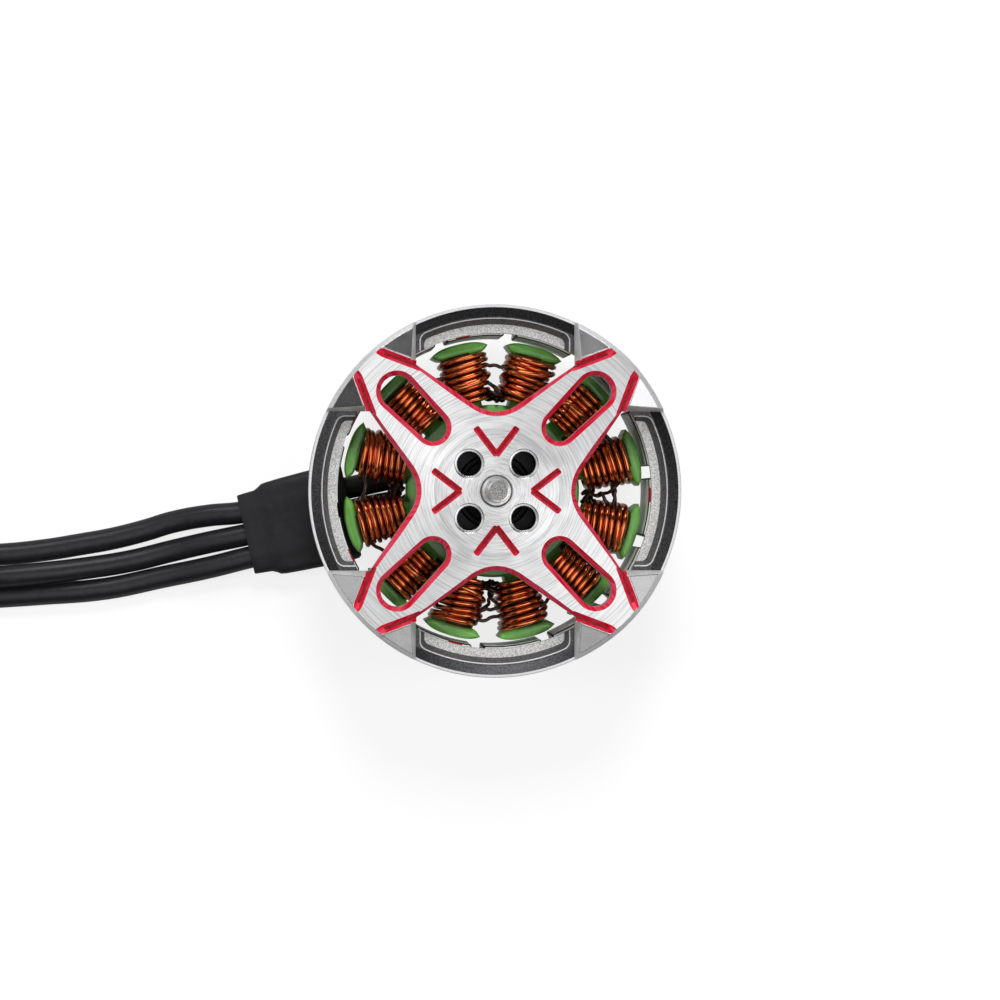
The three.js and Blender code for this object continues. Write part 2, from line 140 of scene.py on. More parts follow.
class Nodes:
    """Adds nodes to the tree of a material or a world."""

    def __init__(self, owner):
        owner.use_nodes = True
        self.tree = owner.node_tree

    def join(self, value, socket):
        """Links a socket to another, or sets it to a constant."""
        if isinstance(value, bpy.types.NodeSocket):
            self.tree.links.new(value, socket)
        else:
            socket.default_value = value

    def add(self, kind, wires=None, **settings):
        node = self.tree.nodes.new("ShaderNode" + kind)
        for key, value in settings.items():
            setattr(node, key, value)
        for key, value in (wires or {}).items():
            self.join(value, node.inputs[key])
        return node

    def maths(self, operation, a, b=0.0, c=0.0):
        return self.add("Math", {0: a, 1: b, 2: c}, operation=operation).outputs[0]

    def span(self, value, low, high, to_low=0.0, to_high=1.0, **settings):
        """The value moved from one range to another, and held inside it."""
        wires = {"Value": value, "From Min": low, "From Max": high, "To Min": to_low, "To Max": to_high}
        return self.add("MapRange", wires, **settings).outputs["Result"]


class Finish(Nodes):
    """A procedural material: a Principled shader, its constants, and the textures that feed the rest."""

    def __init__(self, name, metallic, **sockets):
        self.material = bpy.data.materials.new(name)
        super().__init__(self.material)
        self.shader = self.tree.nodes["Principled BSDF"]
        self.shader.inputs["Metallic"].default_value = metallic
        for key, value in sockets.items():
            self.shader.inputs[key.replace("_", " ")].default_value = value
        self.place = self.add("TexCoord").outputs["Object"]

    def noise(self, scale, detail=3.0, place=None, roughness=0.55):
        wires = {"Vector": place or self.place, "Scale": scale, "Detail": detail, "Roughness": roughness}
        return self.add("TexNoise", wires).outputs["Fac"]

    def noise_at(self, x, y, z, detail):
        place = self.add("CombineXYZ", {"X": x, "Y": y, "Z": z}).outputs[0]
        return self.noise(1.0, detail, place)

    def along_z(self, factor):
        height = self.add("SeparateXYZ", {0: self.place}).outputs["Z"]
        return self.maths("MULTIPLY", height, factor)

    def height_lines(self, scale, detail):
        """Noise drawn out into level lines."""
        return self.noise_at(0.0, 0.0, self.along_z(scale), detail)

    def waves(self, pitch):
        """A wave that rises and falls along Z; pitch is in millimetres."""
        return self.maths("SINE", self.along_z(tau / (pitch * MM)))

    def axis_polar(self, radius_factor, turn_factor):
        """Distance from the Z axis in millimetres, and the two parts of the direction from it, multiplied."""
        scale = {0: self.place, 1: (1 / MM, 1 / MM, 0)}
        flat = self.add("VectorMath", scale, operation="MULTIPLY").outputs[0]
        radius = self.add("VectorMath", {0: flat}, operation="LENGTH").outputs["Value"]
        way = self.add("VectorMath", {0: flat}, operation="NORMALIZE").outputs[0]
        parts = self.add("SeparateXYZ", {0: way}).outputs
        pairs = ((radius, radius_factor), (parts["X"], turn_factor), (parts["Y"], turn_factor))
        return [self.maths("MULTIPLY", value, factor) for value, factor in pairs]

    def rings(self, per_mm, drift, detail=2.0):
        """Noise drawn out into circles round the Z axis, as turning leaves it."""
        return self.noise_at(*self.axis_polar(per_mm, drift), detail)

    def rays(self, count, per_mm, detail):
        """Noise drawn out into lines that run away from the Z axis."""
        radius, x, y = self.axis_polar(per_mm, count)
        return self.noise_at(x, y, radius, detail)

    def tint(self, factor, dark, light, low=0.0, high=1.0):
        """Base colour between two colours; the factor's low and high values give dark and light."""
        if (low, high) != (0.0, 1.0):
            factor = self.span(factor, low, high)
        # Sockets 6 and 7 are the node's two colours, and socket 2 is the colour it gives.
        mix = self.add("Mix", {"Factor": factor, 6: (*dark, 1), 7: (*light, 1)}, data_type="RGBA")
        self.join(mix.outputs[2], self.shader.inputs["Base Color"])

    def rough(self, factor, low, high):
        self.join(self.span(factor, 0, 1, low, high), self.shader.inputs["Roughness"])

    def grain(self, source, tint, rough, bump):
        """Colour, roughness and relief that all follow one source."""
        self.tint(source, *tint)
        self.rough(source, *rough)
        self.bump(source, *bump)

    def soft_edges(self, radius):
        """Rounds the look of sharp edges; radius is in micrometres. It comes before any bump."""
        edge = self.add("Bevel", {"Radius": radius * MICRON}, samples=5)
        self.join(edge.outputs[0], self.shader.inputs["Normal"])

    def bump(self, height, strength, distance):
        """Relief on the surface; distance is in micrometres."""
        normal = self.shader.inputs["Normal"]
        wires = {"Height": height, "Strength": strength, "Distance": distance * MICRON}
        if normal.is_linked:
            wires["Normal"] = normal.links[0].from_socket
        self.join(self.add("Bump", wires).outputs[0], normal)

    def circular_grain(self):
        tangent = self.add("Tangent", direction_type="RADIAL", axis="Z")
        self.join(tangent.outputs[0], self.shader.inputs["Tangent"])


def turned_aluminium():
    """The bell's faced top: fine circles, and a few dark hairlines among them."""
    f = Finish("turned_aluminium", 0.9, Anisotropic=0.65, Anisotropic_Rotation=0.25)
    f.circular_grain()
    fine = f.rings(14.0, 2.0, 3.0)
    coarse = f.rings(3.4, 0.9, 3.0)
    hairlines = f.span(fine, 0.38, 0.54)
    bands = f.span(coarse, 0.35, 0.6, 0.84, 1.0)
    f.tint(f.maths("MULTIPLY", hairlines, bands), (0.64, 0.64, 0.65), (0.95, 0.95, 0.96))
    f.rough(fine, 0.24, 0.4)
    f.bump(fine, 0.4, 20)
    f.bump(coarse, 0.2, 30)
    return f.material


def milled_aluminium():
    """Facets cut beside the windows."""
    f = Finish("milled_aluminium", 0.97)
    f.soft_edges(120)
    cloud = f.noise(900, 3)
    f.tint(cloud, (0.76, 0.76, 0.77), (0.86, 0.86, 0.87), 0.3, 0.7)
    f.rough(cloud, 0.18, 0.27)
    f.bump(f.noise(16000, 2), 0.04, 3)
    return f.material


def blasted_aluminium():
    """Cut walls and ledges with a fine bead-blasted grain."""
    f = Finish("blasted_aluminium", 0.5)
    f.soft_edges(50)
    grain = f.noise(12000, 4, roughness=0.75)
    f.tint(grain, (0.36, 0.357, 0.35), (0.95, 0.945, 0.935), 0.36, 0.6)
    f.rough(f.noise(6000, 2), 0.34, 0.55)
    f.bump(grain, 0.4, 10)
    return f.material


def satin_aluminium(name, dark, light):
    """Sloping cuts with a satin face."""
    f = Finish(name, 0.2)
    f.soft_edges(120)
    f.grain(f.noise(9000, 3), (dark, light, 0.3, 0.7), (0.32, 0.48), (0.2, 10))
    return f.material


def rim_aluminium():
    """The band that leans inwards beside the windows."""
    f = Finish("rim_aluminium", 0.85)
    f.soft_edges(30)
    tint = ((0.035, 0.035, 0.038), (0.13, 0.13, 0.135), 0.36, 0.64)
    f.grain(f.noise(9000, 4, roughness=0.75), tint, (0.24, 0.36), (0.3, 10))
    return f.material


def pocket_aluminium_shade():
    """The pocket's sloping wall, cut with a fine cutter and left matt, and dark grey: painted shade along the
    pocket.
    """
    f = Finish("pocket_aluminium_shade", 0.15, Roughness=0.5)
    f.soft_edges(60)
    grain = f.noise(9000, 4, roughness=0.7)
    f.tint(grain, (0.03, 0.03, 0.032), (0.17, 0.17, 0.174), 0.38, 0.62)
    f.bump(grain, 0.3, 10)
    return f.material


def outer_aluminium():
    """The bell's outside, turned and satin."""
    f = Finish("outer_aluminium", 0.85)
    f.soft_edges(60)
    tint = ((0.56, 0.56, 0.58), (0.74, 0.74, 0.76), 0.3, 0.7)
    f.grain(f.height_lines(9000.0, 2), tint, (0.22, 0.36), (0.2, 10))
    return f.material


def red_anodised():
    """Chamfers and grooves, cut through to bare metal and dyed red."""
    sockets = {"Coat_Weight": 0.08, "Coat_Roughness": 0.2, "Specular_IOR_Level": 0.25}
    f = Finish("red_anodised", 0.35, **sockets)
    tint = ((0.82, 0.004, 0.035), (1.0, 0.1, 0.18), 0.36, 0.64)
    f.grain(f.rays(42.0, 0.4, 3.0), tint, (0.24, 0.42), (0.6, 50))
    return f.material


def red_groove_shade():
    """The floor of a groove in a darker red: painted shade down in the groove."""
    f = Finish("red_groove_shade", 0.3, Roughness=0.4)
    marks = f.noise(7000, 3, roughness=0.7)
    f.tint(marks, (0.13, 0.001, 0.006), (0.5, 0.006, 0.03), 0.36, 0.64)
    f.bump(marks, 0.5, 20)
    return f.material


def hole_wall():
    """Threads in the drilled holes, near black: painted shade down the holes."""
    f = Finish("threaded_wall_shade", 0.6, Roughness=0.5)
    f.tint(f.noise(3000, 2), (0.01, 0.01, 0.011), (0.03, 0.03, 0.033), 0.3, 0.7)
    f.bump(f.waves(0.4), 0.9, 80)
    return f.material


def ground_steel():
    """Hardened steel, centreless ground."""
    f = Finish("ground_steel", 0.7)
    f.tint(f.rings(9.0, 3.0), (0.62, 0.615, 0.61), (0.86, 0.855, 0.85), 0.3, 0.7)
    f.rough(f.noise(2500, 3), 0.16, 0.32)
    f.bump(f.noise(15000, 2), 0.1, 10)
    return f.material


def shaft_end():
    """The shaft's end, peened to a coarse matt dimple."""
    f = Finish("shaft_end", 0.9)
    cells = f.add("TexVoronoi", {"Vector": f.place, "Scale": 13000.0}).outputs["Distance"]
    tint = ((0.72, 0.715, 0.71), (0.22, 0.218, 0.215), 0.15, 0.75)
    f.grain(cells, tint, (0.32, 0.6), (0.35, 20))
    return f.material


def ring_steel():
    f = Finish("ring_steel", 1.0)
    tint = ((0.15, 0.15, 0.16), (0.26, 0.26, 0.27), 0.3, 0.7)
    f.grain(f.height_lines(6000.0, 3), tint, (0.28, 0.42), (0.2, 10))
    return f.material


def magnet_nickel():
    """Pale plating, a little clouded."""
    f = Finish("magnet_nickel", 0.1)
    cloud = f.noise(1800, 3)
    f.tint(cloud, (0.84, 0.84, 0.83), (0.96, 0.96, 0.95), 0.35, 0.65)
    f.rough(cloud, 0.24, 0.4)
    f.bump(f.noise(9000, 2), 0.15, 10)
    return f.material


def marking_red():
    f = Finish("marking_red", 0.0, Roughness=0.45)
    f.tint(f.noise(5000, 3), (0.3, 0.006, 0.012), (0.6, 0.015, 0.03))
    f.bump(f.noise(7000, 2), 0.3, 10)
    return f.material


def black_anodised():
    f = Finish("black_anodised", 0.7)
    f.grain(f.noise(8000, 3), ((0.012, 0.012, 0.014), (0.03, 0.03, 0.034), 0.3, 0.7), (0.3, 0.46), (0.2, 10))
    return f.material


def black_seal():
    f = Finish("black_seal", 0.0, Roughness=0.6)
    f.tint(f.noise(7000, 3), (0.003, 0.003, 0.0035), (0.009, 0.009, 0.01))
    f.bump(f.rings(8.0, 2.0), 0.2, 20)
    return f.material


# Black oxide kept very dark: partly the bearing race's own finish, partly painted shade inside the screw
# holes and in the gaps round the magnets.
def black_oxide_and_shade():
    f = Finish("black_oxide_and_shade", 0.6, Roughness=0.45)
    f.tint(f.rings(9.0, 3.0), (0.006, 0.006, 0.007), (0.02, 0.02, 0.022))
    f.bump(f.noise(9000, 2), 0.2, 10)
    return f.material


def brass():
    f = Finish("cage_brass", 1.0, Roughness=0.3)
    f.tint(f.noise(5000, 3), (0.42, 0.28, 0.1), (0.64, 0.46, 0.2))
    f.bump(f.noise(9000, 2), 0.15, 10)
    return f.material


def green_epoxy():
    """Powder epoxy over the laminations: glossy, a little uneven, with layers faint beneath it."""
    f = Finish("green_epoxy", 0.0, Roughness=0.3, Coat_Weight=0.6, Coat_Roughness=0.12)
    f.tint(f.noise(700, 4), (0.13, 0.42, 0.06), (0.22, 0.58, 0.11), 0.3, 0.7)
    f.bump(f.noise(1500, 3), 0.35, 60)
    f.bump(f.waves(0.2), 0.08, 20)
    return f.material


def enamelled_copper():
    """Magnet wire under clear enamel, darker where the varnish pools."""
    f = Finish("enamelled_copper", 1.0, Coat_Weight=0.7, Coat_Roughness=0.07)
    f.tint(f.noise(1300, 4), (0.76, 0.128, 0.026), (1.0, 0.295, 0.082), 0.32, 0.68)
    f.rough(f.noise(3000, 2), 0.1, 0.2)
    f.bump(f.noise(3500, 2), 0.12, 20)
    return f.material


def shaded_copper():
    """The wire beneath the outer turns, in a dark copy of the copper: painted shade in the gaps between the
    outer turns.
    """
    f = Finish("shaded_copper", 0.8, Roughness=0.34)
    f.tint(f.noise(2500, 3), (0.025, 0.006, 0.002), (0.11, 0.024, 0.006))
    f.bump(f.noise(4000, 2), 0.2, 30)
    return f.material


def varnished_wire_and_shade():
    """Winding tails dipped in dark varnish and kept near black: partly the varnish, partly painted shade
    between the coils.
    """
    f = Finish("varnished_wire_and_shade", 0.5, Roughness=0.22, Coat_Weight=0.6, Coat_Roughness=0.08)
    f.tint(f.noise(2500, 3), (0.012, 0.008, 0.007), (0.05, 0.016, 0.009))
    f.bump(f.noise(4000, 2), 0.2, 30)
    return f.material


def solder():
    f = Finish("solder", 1.0, Roughness=0.3)
    f.tint(f.noise(2600, 3), (0.45, 0.45, 0.47), (0.74, 0.74, 0.76))
    f.bump(f.noise(3500, 3), 0.5, 60)
    return f.material


def lead_silicone():
    """Soft silicone insulation: satin, with faint draw lines and dust."""
    f = Finish("lead_silicone", 0.0, Specular_IOR_Level=0.5)
    f.tint(f.noise(2600, 4), (0.013, 0.0125, 0.015), (0.022, 0.021, 0.025), 0.45, 0.8)
    f.rough(f.noise(900, 3), 0.32, 0.44)
    f.bump(f.noise(800, 2), 0.16, 50)
    f.bump(f.noise(9000, 2), 0.05, 10)
    return f.material


def shrink_sleeve():
    """Matt polyolefin, shrunk over the leads."""
    f = Finish("shrink_sleeve", 0.0, Specular_IOR_Level=0.45)
    f.tint(f.noise(1800, 4), (0.0145, 0.0145, 0.0165), (0.021, 0.021, 0.0235), 0.4, 0.75)
    f.rough(f.noise(1300, 3), 0.46, 0.58)
    f.bump(f.noise(500, 3), 0.18, 100)
    f.bump(f.noise(7000, 2), 0.06, 10)
    return f.material


def tie_nylon():
    f = Finish("tie_nylon", 0.0, Roughness=0.42)
    f.tint(f.noise(3000, 3), (0.01, 0.01, 0.011), (0.024, 0.024, 0.026))
    f.bump(f.noise(5000, 2), 0.2, 20)
    return f.material


TURNED = turned_aluminium()
MILLED = milled_aluminium()
BLASTED = blasted_aluminium()
SHOULDER = satin_aluminium("shoulder_aluminium", (0.72, 0.72, 0.73), (0.93, 0.93, 0.94))
EDGE = satin_aluminium("edge_aluminium", (0.54, 0.54, 0.55), (0.74, 0.74, 0.75))
RIM = rim_aluminium()
POCKET_SHADE = pocket_aluminium_shade()
OUTER = outer_aluminium()
RED = red_anodised()
RED_GROOVE_SHADE = red_groove_shade()
THREAD_SHADE = hole_wall()
STEEL = ground_steel()
SHAFT_END = shaft_end()
RING_STEEL = ring_steel()
NICKEL = magnet_nickel()
MARKING = marking_red()
BLACK = black_anodised()
SEAL = black_seal()
OXIDE_AND_SHADE = black_oxide_and_shade()
BRASS = brass()
GREEN = green_epoxy()
COPPER = enamelled_copper()
SHADED = shaded_copper()
VARNISH_AND_SHADE = varnished_wire_and_shade()
SOLDER = solder()
SILICONE = lead_silicone()
SLEEVE = shrink_sleeve()
NYLON = tie_nylon()


# ---------------------------------------------------------------- shapes


class Solid:
    """A closed mesh in millimetres, with the material of each face."""

    def __init__(self, points, faces, finishes):
        self.points = [Vector(p) for p in points]
        self.faces = faces
        self.finishes = finishes if isinstance(finishes, list) else [finishes] * len(faces)

    def moved(self, matrix):
        return Solid([matrix @ p for p in self.points], self.faces, self.finishes)

    def shifted(self, *offsets):
        return self.moved(Matrix.Translation(offsets))

    def turned(self, angle):
        return self.moved(Matrix.Rotation(angle, 4, "Z"))

    def mirrored(self):
        return self.moved(Matrix.Scale(-1, 4, Vector((1, 0, 0))))

    def plus(self, other):
        start = len(self.points)
        faces = self.faces + [[start + k for k in face] for face in other.faces]
        return Solid(self.points + other.points, faces, self.finishes + other.finishes)

    def normal(self, face):
        """A face's direction, by Newell's method."""
        total = Vector((0, 0, 0))
        for k, here in enumerate(face):
            total += self.points[face[k - 1]].cross(self.points[here])
        return total.normalized()

    def dressed(self, finish, test):
        """The same solid, with a finish on each face whose direction passes a test."""
        skins = [finish if test(self.normal(face)) else skin for face, skin in zip(self.faces, self.finishes)]
        return Solid(self.points, self.faces, skins)

    def to_mesh(self, name, palette):
        mesh = bpy.data.meshes.new(name)
        mesh.from_pydata(self.points, [], self.faces)
        for finish in palette:
            mesh.materials.append(finish)
        mesh.polygons.foreach_set("material_index", [palette.index(f) for f in self.finishes])
        bm = bmesh.new()
        bm.from_mesh(mesh)
        bmesh.ops.remove_doubles(bm, verts=bm.verts, dist=1e-5)
        bmesh.ops.recalc_face_normals(bm, faces=bm.faces)
        bm.to_mesh(mesh)
        bm.free()
        return mesh


def merged(solids):
    return reduce(Solid.plus, solids)


def around(solids, count, phase=0.0):
    return [s.turned(phase + k * tau / count) for k in range(count) for s in solids]


def polar(radius, angle, *z):
    """A point at a distance and an angle from the Z axis: in the plan, or at a height z."""
    return Vector((radius * cos(angle), radius * sin(angle), *z))


def box(left, low, right, high):
    """A rectangle's four corners."""
    return [Vector(p) for p in ((left, low), (right, low), (right, high), (left, high))]


def squared(value, power):
    """A sine or a cosine, changed so that the round they make together grows square as power rises over 2."""
    return copysign(abs(value) ** (2 / power), value)


def loft(sections, finishes, closed=False, by_side=False):
    """A skin through loops of points, in one finish or a list of them.

    The list has one for each band between two loops, or for each side of the loops, and then the caps'.
    """

    def skin(index):
        return finishes[index] if isinstance(finishes, list) else finishes

    size = len(sections[0])
    points = [p for section in sections for p in section]
    faces, skins = [], []
    for band in range(len(sections) if closed else len(sections) - 1):
        start, following = band * size, (band + 1) % len(sections) * size
        for k in range(size):
            after = (k + 1) % size
            faces.append([start + k, start + after, following + after, following + k])
            skins.append(skin(k if by_side else band))
    if not closed:
        faces += [list(range(size))[::-1], list(range(len(points) - size, len(points)))]
        skins += [skin(-1)] * 2
    return Solid(points, faces, skins)


def lathe(profile, finishes, segments=192):
    """A closed profile of (radius, z) points turned about the Z axis; a list has a finish for each side."""
    angles = [k * tau / segments for k in range(segments)]
    sections = [[polar(r, angle, z) for r, z in profile] for angle in angles]
    return loft(sections, finishes, closed=True, by_side=True)


def bend(start, control, end, steps):
    """A curve from start to end that leaves and arrives along straight lines through control."""
    shares = [k / steps for k in range(steps + 1)]
    return [start * (1 - t) ** 2 + control * 2 * t * (1 - t) + end * t**2 for t in shares]


def rounded(points, radius, steps=4, corners=None):
    """A closed outline with its corners rounded: those listed, or all of them."""
    out = []
    for k, here in enumerate(points):
        if corners and k not in corners:
            out.append(here)
            continue
        before, after = points[k - 1] - here, points[(k + 1) % len(points)] - here
        out += bend(here + before.normalized() * radius, here, here + after.normalized() * radius, steps)
    return out


def offset(outline, distance):
    """A closed plan outline moved outwards by a distance, with mitred corners."""
    area = sum(outline[k - 1].x * p.y - p.x * outline[k - 1].y for k, p in enumerate(outline))
    side = 1 if area > 0 else -1
    out = []
    for k, here in enumerate(outline):
        before = (here - outline[k - 1]).normalized()
        after = (outline[(k + 1) % len(outline)] - here).normalized()
        normal_a = Vector((before.y, -before.x)) * side
        normal_b = Vector((after.y, -after.x)) * side
        middle = (normal_a + normal_b).normalized()
        out.append(here + middle * distance / max(0.5, middle.dot(normal_a)))
    return out


def at(outline, z):
    return [Vector((p.x, p.y, z)) for p in outline]


def chamfered(outline, bottom, chamfer, wall, finish):
    """A cutter that widens by the chamfer where it meets the hub's top face."""
    spare = 0.15
    sections = [
        at(outline, bottom),
        at(outline, HUB_TOP - chamfer),
        at(offset(outline, chamfer + spare), HUB_TOP + spare),
    ]
    return loft(sections, [wall, finish, finish])


def hull(points, finish):
    bm = bmesh.new()
    for p in points:
        bm.verts.new(p)
    bmesh.ops.convex_hull(bm, input=bm.verts)
    bm.verts.index_update()
    solid = Solid([v.co.copy() for v in bm.verts], [[v.index for v in f.verts] for f in bm.faces], finish)
    bm.free()
    return solid


def capsule(inner, outer, steps=24):
    """A capsule outline along +X between two rounds, each given as (centre, radius)."""
    lean = acos((inner[1] - outer[1]) / (outer[0] - inner[0]))
    out = []
    for (centre, radius), first, sweep in ((outer, -lean, 2 * lean), (inner, lean, 2 * (pi - lean))):
        for k in range(steps + 1):
            angle = first + sweep * k / steps
            out.append(Vector((centre + radius * cos(angle), radius * sin(angle))))
    return out


def pillow(outline, bottom, top, radius, finish, steps=4):
    """A flat outline raised from bottom to top with rounded edges."""
    turns = [pi / 2 * k / steps for k in range(steps + 1)]
    plans = [offset(outline, -radius * (1 - sin(a))) for a in turns]
    rises = [radius * (1 - cos(a)) for a in turns]
    low = [at(plan, bottom + rise) for plan, rise in zip(plans, rises)]
    high = [at(plan, top - rise) for plan, rise in zip(plans, rises)]
    return loft(low + high[::-1], finish)


def tube(path, radius, finish, sides=10):
    """A round bar along a path, closed at both ends."""
    path = [Vector(p) for p in path]
    turns = [tau * i / sides for i in range(sides)]
    sections = []
    side = (path[1] - path[0]).normalized().orthogonal().normalized()
    for k, here in enumerate(path):
        heading = (path[min(k + 1, len(path) - 1)] - path[max(k - 1, 0)]).normalized()
        side = (side - heading * side.dot(heading)).normalized()
        other = heading.cross(side)
        sections.append([here + (side * cos(a) + other * sin(a)) * radius for a in turns])
    return loft(sections, finish)


def smooth_path(points, per_span=6):
    """A Catmull-Rom curve through some points."""
    points = [Vector(p) for p in points]
    ends = [2 * points[0] - points[1], *points, 2 * points[-1] - points[-2]]
    out = []
    for k in range(1, len(ends) - 2):
        a, b, c, d = ends[k - 1 : k + 3]
        for t in (i / per_span for i in range(per_span)):
            square, cube = 2 * a - 5 * b + 4 * c - d, 3 * b - a - 3 * c + d
            out.append(0.5 * (2 * b + (c - a) * t + square * t**2 + cube * t**3))
    return [*out, points[-1]]


def publish(name, mesh, body, replaced=(), sharp=30):
    """A mesh in millimetres becomes a piece in metres that moves with a body."""
    mesh.transform(Matrix.Scale(MM, 4))
    mesh.polygons.foreach_set("use_smooth", [True] * len(mesh.polygons))
    mesh.set_sharp_from_angle(angle=radians(sharp))
    piece = put(name, mesh)
    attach(piece, body)
    if replaced:
        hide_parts(*replaced)
    return piece


def piece_of(name, solid, body, replaced=(), sharp=30):
    palette = list(dict.fromkeys(solid.finishes))
    return publish(name, solid.to_mesh(name, palette), body, replaced, sharp)


def carved(name, base, cutters=(), joined=()):
    """The base with other solids joined to it and then cut from it, as one mesh in millimetres."""
    everything = [base, *joined, *cutters]
    palette = list(dict.fromkeys(f for solid in everything for f in solid.finishes))
    helpers = [put(f"{name}_{k}", s.to_mesh(f"{name}_{k}", palette)) for k, s in enumerate(everything)]
    body = helpers[0]
    for k, helper in enumerate(helpers[1:]):
        step = body.modifiers.new("step", "BOOLEAN")
        step.operation = "UNION" if k < len(joined) else "DIFFERENCE"
        step.solver = "MANIFOLD"
        step.object = helper
    graph = bpy.context.evaluated_depsgraph_get()
    mesh = bpy.data.meshes.new_from_object(body.evaluated_get(graph))
    mesh.name = name
    for helper in helpers:
        bpy.data.objects.remove(helper)
    return mesh


# ---------------------------------------------------------------- leads


def sleeve_point(along, across, z=SLEEVE_Z):
    heading = polar(1, SLEEVE_HEADING, 0)
    side = Vector((heading.y, -heading.x, 0))
    return SLEEVE_AXIS + heading * along + side * across + UP * z


# Where each lead's axis runs from its splice to the sleeve, and from the sleeve to the coil.
LEADS = {
    "lead_a": {
        "turn_radius": 7.0,
        "across": LEAD_PITCH,
        "inside": [(-6.2, 0.95, 2.45), (-7.6, 0.62, 2.1)],
        "outside": [
            *[(-18.9, -1.66, 1.15), (-21.4, -2.12, 0.85), (-23.1, -2.64, 0.77), (-25.3, -3.2, REST)],
            *[(-27.5, -3.6, REST), (-30, -4, REST), (-33.1, -4.3, REST), (-36.8, -4.32, REST)],
            (-40.2, -4.3, REST),
        ],
    },
    "lead_b": {
        "turn_radius": 8.55,
        "across": 0.0,
        "inside": [(-6.2, -0.7, 2.45), (-7.6, -0.95, 2.1)],
        "outside": [
            *[(-19, -3.5, 1.15), (-21.4, -4.06, 0.85), (-24.2, -4.74, 0.9), (-27.5, -5.25, 1.2)],
            *[(-30.2, -5.55, 1.5), (-33.1, -5.8, 1.5), (-35.5, -5.87, 1.1), (-38.1, -5.86, 0.78)],
            (-41.2, -5.85, REST),
        ],
    },
    "lead_c": {
        "turn_radius": 10.1,
        "across": -LEAD_PITCH,
        "inside": [(-6.2, -2.35, 2.45), (-7.6, -2.52, 2.1)],
        "outside": [
            *[(-19, -5.2, 1.1), (-21.9, -5.8, 0.8), (-25.8, -6.6, REST), (-30.3, -6.97, REST)],
            *[(-33.1, -7.15, REST), (-36.5, -7.35, REST), (-40.2, -7.42, REST)],
        ],
    },
}


def ease(t):
    t = min(1.0, max(0.0, t))
    return t * t * (3 - 2 * t)


def coil_point(radius, turned):
    """A lead's place in the coil after it has turned by an angle, clockwise from the coil's near side."""
    climb_from, climb_to = tau - 2.3, tau - 1.05
    strap_lift, strap_half, ramp = 0.33, 1.5, 4.5
    lap, rest = divmod(turned, tau)
    layer = lap + ease((rest - climb_from) / (climb_to - climb_from))
    angle = -pi / 2 - turned
    # The strap of the tie passes under the coil on its far left, and the turns ride over it.
    from_strap = abs(angle % tau - pi) * radius
    over_strap = strap_lift * (1 - ease((from_strap - strap_half) / ramp))
    return COIL_CENTRE + polar(radius, angle, REST + LAYER_RISE * layer + over_strap)


def path_length(points):
    return sum((Vector(b) - Vector(a)).length for a, b in zip(points, points[1:]))


def lead_course(lead):
    """The points of a lead before the coil, and the angle that its rest turns through in the coil."""
    sleeved = [sleeve_point(along, lead["across"]) for along in (-2.4, 0, 2.4, 4.7)]
    free = [Vector(p) for p in (*lead["inside"], *sleeved, *lead["outside"])]
    to_coil = path_length(smooth_path([*free, coil_point(lead["turn_radius"], 0)], 12))
    return free, (LEAD_LENGTH - to_coil) / lead["turn_radius"]


def lead_route(lead):
    """Points of a lead from its splice to its bare end."""
    free, turned = lead_course(lead)
    steps = ceil(turned / (tau / 20))
    return free + [coil_point(lead["turn_radius"], turned * k / steps) for k in range(steps + 1)]


def make_lead(name, lead):
    route = lead_route(lead)
    data = bpy.data.curves.new(f"{name}_cord", "CURVE")
    data.dimensions = "3D"
    data.bevel_depth = LEAD_RADIUS * MM
    data.bevel_resolution = 6
    data.resolution_u = 6
    data.use_fill_caps = True
    spline = data.splines.new("BEZIER")
    spline.bezier_points.add(len(route) - 1)
    for knot, place in zip(spline.bezier_points, route):
        knot.co = place * MM
        knot.handle_left_type = knot.handle_right_type = "AUTO"
    data.materials.append(SILICONE)
    cord = put(f"{name}_cord", data)
    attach(cord, "stator")
    tip = bare_end(f"{name}_bare_end", route)
    return cord, tip


def bare_end(name, route):
    """The stripped end: seven fine strands twisted together and tinned."""
    start = route[-1]
    heading = route[-1] - route[-2]
    heading.z = 0
    heading.normalize()
    side = heading.cross(UP)
    length, inside, strand, lay_radius, twist, steps = 2.6, 0.5, 0.13, 0.24, 1.3, 14
    bars = []
    for k in range(7):
        path = []
        for i in range(steps + 1):
            angle = tau * (k / 6 + twist * i / steps)
            out = 0 if k == 6 else lay_radius
            around_axis = (side * cos(angle) + UP * sin(angle)) * out
            path.append(start + heading * (length * i / steps - inside) + around_axis)
        bars.append(tube(path, strand, SOLDER, 8))
    return piece_of(name, merged(bars), "stator")


